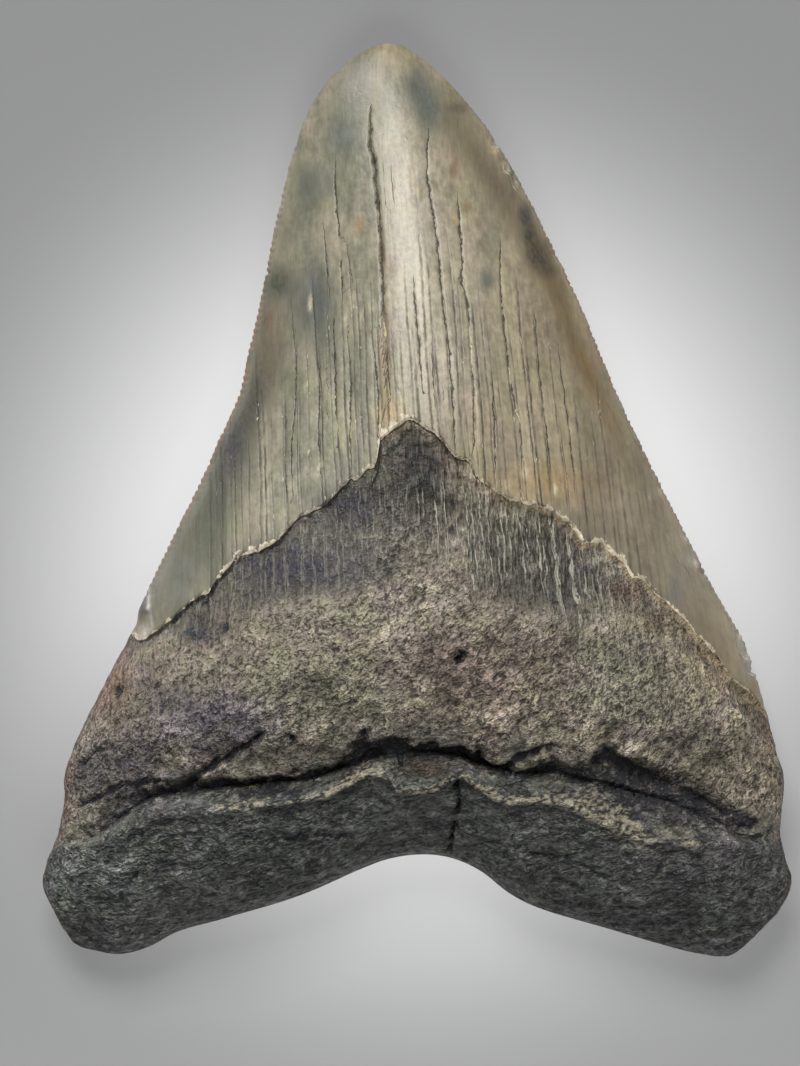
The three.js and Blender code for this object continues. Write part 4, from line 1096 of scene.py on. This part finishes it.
ruffle = add_node(tree, "TexNoise", {"Vector": here, "Scale": 1 / (0.8 * MM), "Detail": 1}, "Color")
ruffle = add_node(tree, "VectorMath", {0: ruffle, 1: (0.5, 0.5, 0.5)}, operation="SUBTRACT")
ruffled = add_node(tree, "VectorMath", {0: ruffle, 1: (1.3 * MM, 1.3 * MM, 1.3 * MM), 2: here},
                   operation="MULTIPLY_ADD")
slanting = grain(tree, here, (0.50 * MM, 0.78 * MM, 0.7 * MM), 2, turn=-42, twist=0.9)
upright = grain(tree, here, (0.34 * MM, 1.7 * MM, 1.2 * MM), 2, turn=3, twist=0.3)
level = grain(tree, here, (1.70 * MM, 0.75 * MM, 1.0 * MM), 3, turn=14, twist=1.2)
slanting_grains = pebbled(tree, ruffled, (0.46 * MM, 0.66 * MM, 0.6 * MM), -42)
level_grains = pebbled(tree, ruffled, (0.95 * MM, 0.50 * MM, 0.6 * MM), 14)
patches = grain(tree, here, (7 * MM, 6 * MM, 7 * MM), 4)
lumpy = grain(tree, here, (1.7 * MM, 1.5 * MM, 1.7 * MM), 3)
lobe_edge = add_node(tree, "Math", {0: patches, 1: -0.6, 2: row_mark}, operation="MULTIPLY_ADD")
on_lobes = add_node(tree, "MapRange", {0: lobe_edge, 1: 0.86, 2: 0.60})
under_enamel = add_node(tree, "MapRange", {0: row_mark, 1: 1.5, 2: 1.8})
upright_share = add_node(tree, "MapRange", {0: growth_x, 1: -3.0, 2: 4.0, 3: 0.55})
under_enamel = add_node(tree, "Math", {0: under_enamel, 1: upright_share}, operation="MULTIPLY")
upright_share = add_node(tree, "MapRange", {0: growth_x, 1: 27.0, 2: 18.0, 3: 0.2})
under_enamel = add_node(tree, "Math", {0: under_enamel, 1: upright_share}, operation="MULTIPLY")
wrinkles = add_node(tree, "Mix", {0: on_lobes, 2: slanting, 3: level}, data_type="FLOAT")
wrinkles = add_node(tree, "Mix", {0: under_enamel, 2: wrinkles, 3: upright}, data_type="FLOAT")
pebbles = add_node(tree, "Mix", {0: on_lobes, 2: slanting_grains, 3: level_grains}, data_type="FLOAT")
few_pebbles = add_node(tree, "MapRange", {0: under_enamel, 3: -0.34, 4: -0.08})
wrinkles = add_node(tree, "Math", {0: pebbles, 1: few_pebbles, 2: wrinkles}, operation="MULTIPLY_ADD")
wrinkles = add_node(tree, "Math", {0: few_pebbles, 1: -0.52, 2: wrinkles}, operation="MULTIPLY_ADD")

patch_share = add_node(tree, "MapRange", {0: patches, 1: 0.4, 2: 0.6}, interpolation_type="SMOOTHSTEP")
colour = add_node(tree, "Mix", {
    FACTOR: patch_share, COLOUR_A: paint("#6F6559"), COLOUR_B: paint("#8A8170"),
}, MIXED, data_type="RGBA")
colour = add_node(tree, "Mix", {FACTOR: on_lobes, COLOUR_A: colour, COLOUR_B: paint("#52544F")},
                  MIXED, data_type="RGBA")
colour = stained(tree, colour, lumpy)
tint = grain(tree, here, (4 * MM, 3.5 * MM, 4 * MM), 3, twist=0.6)
tint_share = add_node(tree, "MapRange", {0: tint, 1: 0.38, 2: 0.62})
tint = add_node(tree, "Mix", {FACTOR: tint_share, COLOUR_A: (0.97, 1.0, 0.91, 1), COLOUR_B: (1.03, 0.985, 1.06, 1)},
                MIXED, data_type="RGBA")
colour = add_node(tree, "VectorMath", {0: colour, 1: tint}, operation="MULTIPLY")
shade = add_node(tree, "MapRange", {0: lumpy, 1: 0.3, 2: 0.7, 3: 1.12, 4: 1.55})
colour = add_node(tree, "VectorMath", {0: colour, "Scale": shade}, operation="SCALE")
# Painted highlight and shade: lighter on the crests and darker in the hollows of the mesh's relief
shade = add_node(tree, "MapRange", {0: crest_shade_mark, 1: -0.35, 2: 0.35, 3: 0.68, 4: 1.34})
colour = add_node(tree, "VectorMath", {0: colour, "Scale": shade}, operation="SCALE")

# %% [markdown]
# Flecks and hollows
#
# The crests of the wrinkles are painted pale, partly as worn dentine and partly as painted highlight, and
# their valleys are painted darker, as painted shade. Both come from the same noise that makes the bump, so
# colour and relief agree when the light moves.

# %% Flecks
crest_share = add_node(tree, "MapRange", {0: fleck_mark, 3: 0.15, 4: 1.0})
cluster = add_node(tree, "MapRange", {0: lumpy, 1: 0.40, 2: 0.60, 3: 0.45, 4: 1.15})
crest_share = add_node(tree, "Math", {0: crest_share, 1: cluster}, operation="MULTIPLY")
crest = add_node(tree, "Math", {0: on_lobes, 1: -0.04, 2: wrinkles}, operation="MULTIPLY_ADD")
crest = add_node(tree, "MapRange", {0: crest, 1: 0.53, 2: 0.60}, interpolation_type="SMOOTHSTEP")
curl = grain(tree, ruffled, (1.0 * MM, 0.8 * MM, 0.9 * MM), 1)
curl = add_node(tree, "Math", {0: curl, 1: 0.5}, operation="SUBTRACT")
curl = add_node(tree, "Math", {0: curl}, operation="ABSOLUTE")
curl = add_node(tree, "MapRange", {0: curl, 1: 0.035, 2: 0.012})
crest = add_node(tree, "Math", {0: curl, 1: 0.7, 2: crest}, operation="MULTIPLY_ADD", use_clamp=True)
worn_crest_and_highlight = add_node(tree, "Math", {0: crest, 1: crest_share}, operation="MULTIPLY", use_clamp=True)
pale_worn_and_highlight = add_node(tree, "VectorMath", {0: colour, "Scale": 1.9}, operation="SCALE")
pale_worn_and_highlight = add_node(tree, "VectorMath", {0: pale_worn_and_highlight, 1: (0.12, 0.118, 0.104)}, operation="ADD")
colour = add_node(tree, "Mix", {FACTOR: worn_crest_and_highlight, COLOUR_A: colour, COLOUR_B: pale_worn_and_highlight},
                  MIXED, data_type="RGBA")
valley_shade_depth = add_node(tree, "MapRange", {0: band_mark, 3: 0.36, 4: 0.75})
valley_shade = add_node(tree, "MapRange", {0: wrinkles, 1: 0.49, 2: 0.35, 3: 1.0, 4: valley_shade_depth})
colour = add_node(tree, "VectorMath", {0: colour, "Scale": valley_shade}, operation="SCALE")

ledges = grain(tree, ruffled, (6 * MM, 1.5 * MM, 3 * MM), 2, turn=8)
ledges = add_node(tree, "Math", {0: ledges, 1: 0.5}, operation="SUBTRACT")
ledges = add_node(tree, "Math", {0: ledges}, operation="ABSOLUTE")
ledges = add_node(tree, "MapRange", {0: ledges, 1: 0.016, 2: 0.004})
ledges = add_node(tree, "Math", {0: ledges, 1: on_lobes}, operation="MULTIPLY")
ledge_shade = add_node(tree, "MapRange", {0: ledges, 3: 1.0, 4: 0.45})
colour = add_node(tree, "VectorMath", {0: colour, "Scale": ledge_shade}, operation="SCALE")

RIDGE_PITCH = 0.98
ridge_wander = grain(tree, here, (0.9 * MM, 2.2 * MM, 5 * MM), 2)
ridge_x = add_node(tree, "Math", {0: ridge_wander, 1: 0.9, 2: growth_x}, operation="MULTIPLY_ADD")
ridge_x = add_node(tree, "Math", {0: ridge_x, 1: RIDGE_PITCH}, operation="DIVIDE")
to_ridge = add_node(tree, "TexVoronoi", {"W": ridge_x, "Scale": 1, "Randomness": 0.9},
                    voronoi_dimensions="1D", feature="F1")
ridge_breaks = grain(tree, here, (0.7 * MM, 2.1 * MM, 2 * MM), 2)
ridge_width = add_node(tree, "MapRange", {0: ridge_breaks, 1: 0.40, 2: 0.56, 3: 0.01, 4: 0.21})
ridge_core = add_node(tree, "Math", {0: ridge_width, 1: 0.5}, operation="MULTIPLY")
ridge = add_node(tree, "MapRange", {0: to_ridge, 1: ridge_width, 2: ridge_core})
RIDGE_LIMITS = [     # mark, where the ridges start to show, where they show in full, and the least
    (above_foot, -11.5, -7.5, 0), (above_foot, -0.3, -1.2, 0), (growth_x, -6.0, 1.0, 0.3),
    (growth_x, 29.0, 19.0, 0), (growth_y, 3.0, 0.0, 0),
]
ridged = 0.92
for mark, start, full, least in RIDGE_LIMITS:
    limit = add_node(tree, "MapRange", {0: mark, 1: start, 2: full, 3: least})
    ridged = add_node(tree, "Math", {0: limit, 1: ridged}, operation="MULTIPLY")
ridge = add_node(tree, "Math", {0: ridge, 1: ridged}, operation="MULTIPLY")
gap_shade = add_node(tree, "MapRange", {0: ridged, 3: 1.0, 4: 0.78})
colour = add_node(tree, "VectorMath", {0: colour, "Scale": gap_shade}, operation="SCALE")
colour = add_node(tree, "Mix", {FACTOR: ridge, COLOUR_A: colour, COLOUR_B: paint("#ADAA98")},
                  MIXED, data_type="RGBA")

# %% Borders and hollows of the root
lip_grain = add_node(tree, "Math", {0: wrinkles, 1: 2.4, 2: lip_mark}, operation="MULTIPLY_ADD")
lip_amount = add_node(tree, "MapRange", {0: lip_grain, 1: 1.55, 2: 2.10, 4: 0.9})
lip_shown = add_node(tree, "MapRange", {0: lip_mark, 1: 0.08, 2: 0.45})
lip_amount = add_node(tree, "Math", {0: lip_amount, 1: lip_shown}, operation="MULTIPLY")
lip_tone = add_node(tree, "MapRange", {0: wrinkles, 1: 0.38, 2: 0.60, 3: 0.30, 4: 1.40})
lip_colour = add_node(tree, "VectorMath", {0: linear("#9F9680"), "Scale": lip_tone}, operation="SCALE")
colour = add_node(tree, "Mix", {FACTOR: lip_amount, COLOUR_A: colour, COLOUR_B: lip_colour},
                  MIXED, data_type="RGBA")
rusty = add_node(tree, "MapRange", {0: lumpy, 1: 0.45, 2: 0.7, 3: 0.15, 4: 1.5})
rust = add_node(tree, "MapRange", {0: from_edge, 1: rusty, 2: 0.05, 4: 0.45})
colour = add_node(tree, "Mix", {FACTOR: rust, COLOUR_A: colour, COLOUR_B: paint("#6F4A36")},
                  MIXED, data_type="RGBA")

TAN_WIDTH = 0.50        # the worn border that the enamel keeps on its right, mm
tan_ragged = add_node(tree, "MapRange", {0: lumpy, 1: 0.3, 2: 0.7, 3: -0.45 * TAN_WIDTH, 4: -1.5 * TAN_WIDTH})
tan_edge = add_node(tree, "Math", {0: above_foot, 1: tan_ragged}, operation="GREATER_THAN")
tan_right = add_node(tree, "MapRange", {0: growth_x, 1: 9.0, 2: 14.0, 4: 0.85})
tan_edge = add_node(tree, "Math", {0: tan_edge, 1: tan_right}, operation="MULTIPLY")
tan_tone = add_node(tree, "MapRange", {0: wrinkles, 1: 0.38, 2: 0.62, 3: 0.7, 4: 1.3})
tan_colour = add_node(tree, "VectorMath", {0: linear("#9C8C6E"), "Scale": tan_tone}, operation="SCALE")
colour = add_node(tree, "Mix", {FACTOR: tan_edge, COLOUR_A: colour, COLOUR_B: tan_colour},
                  MIXED, data_type="RGBA")
# Painted shadow: a dark ragged line just under the enamel's foot, on the left
contact_shadow_ragged = add_node(tree, "MapRange", {0: lumpy, 1: 0.35, 2: 0.65, 3: 0.0, 4: -0.28})
contact_shadow = add_node(tree, "Math", {0: above_foot, 1: contact_shadow_ragged}, operation="GREATER_THAN")
contact_shadow_left = add_node(tree, "MapRange", {0: growth_x, 1: 14.0, 2: 8.0, 4: 0.85})
contact_shadow = add_node(tree, "Math", {0: contact_shadow, 1: contact_shadow_left}, operation="MULTIPLY")
colour = add_node(tree, "Mix", {FACTOR: contact_shadow, COLOUR_A: colour, COLOUR_B: paint("#1F1A15")},
                  MIXED, data_type="RGBA")
# Crevices and pits painted dark as shade, broken up by the wrinkles
hollow_shade_grain = add_node(tree, "Math", {0: wrinkles, 1: -1.6, 2: hollow_shade_mark}, operation="MULTIPLY_ADD")
hollow_shade_cover = add_node(tree, "MapRange", {0: hollow_shade_grain, 1: -0.70, 2: -0.05, 4: 0.95})
colour = add_node(tree, "Mix", {FACTOR: hollow_shade_cover, COLOUR_A: colour, COLOUR_B: paint("#2D2E33")},
                  MIXED, data_type="RGBA")

relief = add_node(tree, "Math", {0: lumpy, 1: 1.2, 2: wrinkles}, operation="MULTIPLY_ADD")
relief = add_node(tree, "Math", {0: ridge, 1: 0.4, 2: relief}, operation="MULTIPLY_ADD")
relief = add_node(tree, "Math", {0: ledges, 1: -0.25, 2: relief}, operation="MULTIPLY_ADD")
ROOT_GRAIN_DEPTH = 0.7
bumps = add_node(tree, "Bump", {"Height": relief, "Strength": 1.0, "Distance": ROOT_GRAIN_DEPTH * MM},
                 "Normal")
matt = add_node(tree, "MapRange", {0: wrinkles, 1: 0.35, 2: 0.65, 3: 0.80, 4: 0.48})
shader = tree.nodes["Principled BSDF"]
shader.inputs["IOR"].default_value = 1.55
tree.links.new(colour, shader.inputs["Base Color"])
tree.links.new(matt, shader.inputs["Roughness"])
tree.links.new(bumps, shader.inputs["Normal"])
print("dentine nodes:", len(tree.nodes))

# %% [markdown]
# Putting the finishes on
#
# The border between the two finishes is the torn edge of the enameloid, which is a line of the mesh.
# A face belongs to the crown when all of its corners do.

# %% Faces of the crown and the root
tooth_mesh.materials.append(dentine)
tooth_mesh.materials.append(enamel)
corner_points = np.empty(len(tooth_mesh.loops), int)
tooth_mesh.loops.foreach_get("vertex_index", corner_points)
starts = np.empty(len(tooth_mesh.polygons), int)
tooth_mesh.polygons.foreach_get("loop_start", starts)
in_crown = np.minimum.reduceat(row[corner_points], starts) >= 1.999
tooth_mesh.polygons.foreach_set("material_index", in_crown.astype(int))
print("crown faces:", int(in_crown.sum()), "of", len(in_crown))
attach(tooth, "root")
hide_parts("tooth")

# %% [markdown]
# A table to lie on, and the light
#
# The tooth lies on a plain pale table. One large soft lamp leans over from the tip's side, so the ridge
# of the crown shines and the root's underside is in shade. A small low lamp rakes over the root and shows
# its grain. A lamp above brightens the middle of the table alone, and a grey world fills the shadows.

# %% Floor
floor_mesh = bpy.data.meshes.new("floor")
floor_build = bmesh.new()
bmesh.ops.create_grid(floor_build, x_segments=1, y_segments=1, size=3)
floor_build.to_mesh(floor_mesh)
floor_build.free()
floor = bpy.data.objects.new("floor", floor_mesh)
bpy.context.scene.collection.objects.link(floor)
floor.location.z = cad_low.z - 0.0002
card = bpy.data.materials.new("matt_card")
card.use_nodes = True
shader = card.node_tree.nodes["Principled BSDF"]
shader.inputs["Base Color"].default_value = paint("#A0A0A0")
shader.inputs["Roughness"].default_value = 0.9
floor_mesh.materials.append(card)
floor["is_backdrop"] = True

# %% Lights


def aim(thing, target):
    thing.rotation_euler = (Vector(target) - thing.location).to_track_quat("-Z", "Y").to_euler()


def lamp(name, kind, place, target, watts, **settings):
    light = bpy.data.lights.new(name, kind)
    light.energy = watts
    for key, value in settings.items():
        setattr(light, key, value)
    thing = bpy.data.objects.new(name, light)
    thing.location = place
    aim(thing, target)
    bpy.context.scene.collection.objects.link(thing)
    return thing


def only(thing):
    """A collection of one thing, for lamps that light nothing else."""
    collection = bpy.data.collections.new(thing.name + "_only")
    collection.objects.link(thing)
    return collection


tooth_only, table_only = only(tooth), only(floor)
lamp("room_softbox", "AREA", (-0.12, 0.60, 0.95), (0, 0, 0.01), 6.0, shape="SQUARE", size=0.45)
key = lamp("key_softbox", "AREA", (-0.12, 0.60, 0.95), (0, 0, 0.01), 0.7, shape="SQUARE", size=0.45)
rake = lamp("raking_lamp", "AREA", (-0.35, 0.80, 0.36), (0, 0, 0.01), 4.0, shape="SQUARE", size=0.22)
side_lamp = lamp("side_fill", "AREA", (0.75, 0.1, 0.7), (0, 0, 0.01), 1.4, shape="SQUARE", size=0.6)
glow = lamp("table_glow", "SPOT", (0.0017, -0.009, 1.3), (0.0017, -0.009, 0), 132.0,
            spot_size=math.radians(5.7), spot_blend=1.0, shadow_soft_size=0.02)
wash = lamp("table_wash", "AREA", (0.0, -0.30, 0.22), (0, -0.1, 0), 0.85, shape="SQUARE", size=0.3)
for light in (key, rake, side_lamp):
    light.light_linking.receiver_collection = tooth_only
for light in (glow, wash):
    light.light_linking.receiver_collection = table_only
wash.light_linking.blocker_collection = table_only
world = bpy.data.worlds.new("studio")
world.use_nodes = True
world.node_tree.nodes["Background"].inputs[0].default_value = (0.5, 0.51, 0.53, 1)
world.node_tree.nodes["Background"].inputs[1].default_value = 0.38
bpy.context.scene.world = world
bpy.context.scene.view_settings.view_transform = "Standard"

# %% [markdown]
# The camera
#
# The photo looks straight down on the tooth. Its frame is 800 by 1066 pixels, and one pixel is 0.13 mm
# at the height of the cutting edges.

# %% Camera
PIXEL = 0.13 * MM
FRAME_HEIGHT = 1066 * PIXEL
EDGE_HEIGHT = 6 * MM
CAMERA_ABOVE = 0.9
camera_data = bpy.data.cameras.new("camera")
camera_data.sensor_width = 36
camera_data.lens = camera_data.sensor_width * CAMERA_ABOVE / FRAME_HEIGHT
camera_data.clip_start, camera_data.clip_end = 0.01, 20
camera = bpy.data.objects.new("camera", camera_data)
camera.location = (-2.21 * MM, -4.45 * MM, EDGE_HEIGHT + CAMERA_ABOVE)
bpy.context.scene.collection.objects.link(camera)
bpy.context.scene.camera = camera
print("lens, mm:", round(camera_data.lens, 1))

# %% Sizes
low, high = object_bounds()
print("visual box, mm:", [round(1000 * (b - a), 1) for a, b in zip(low, high)])
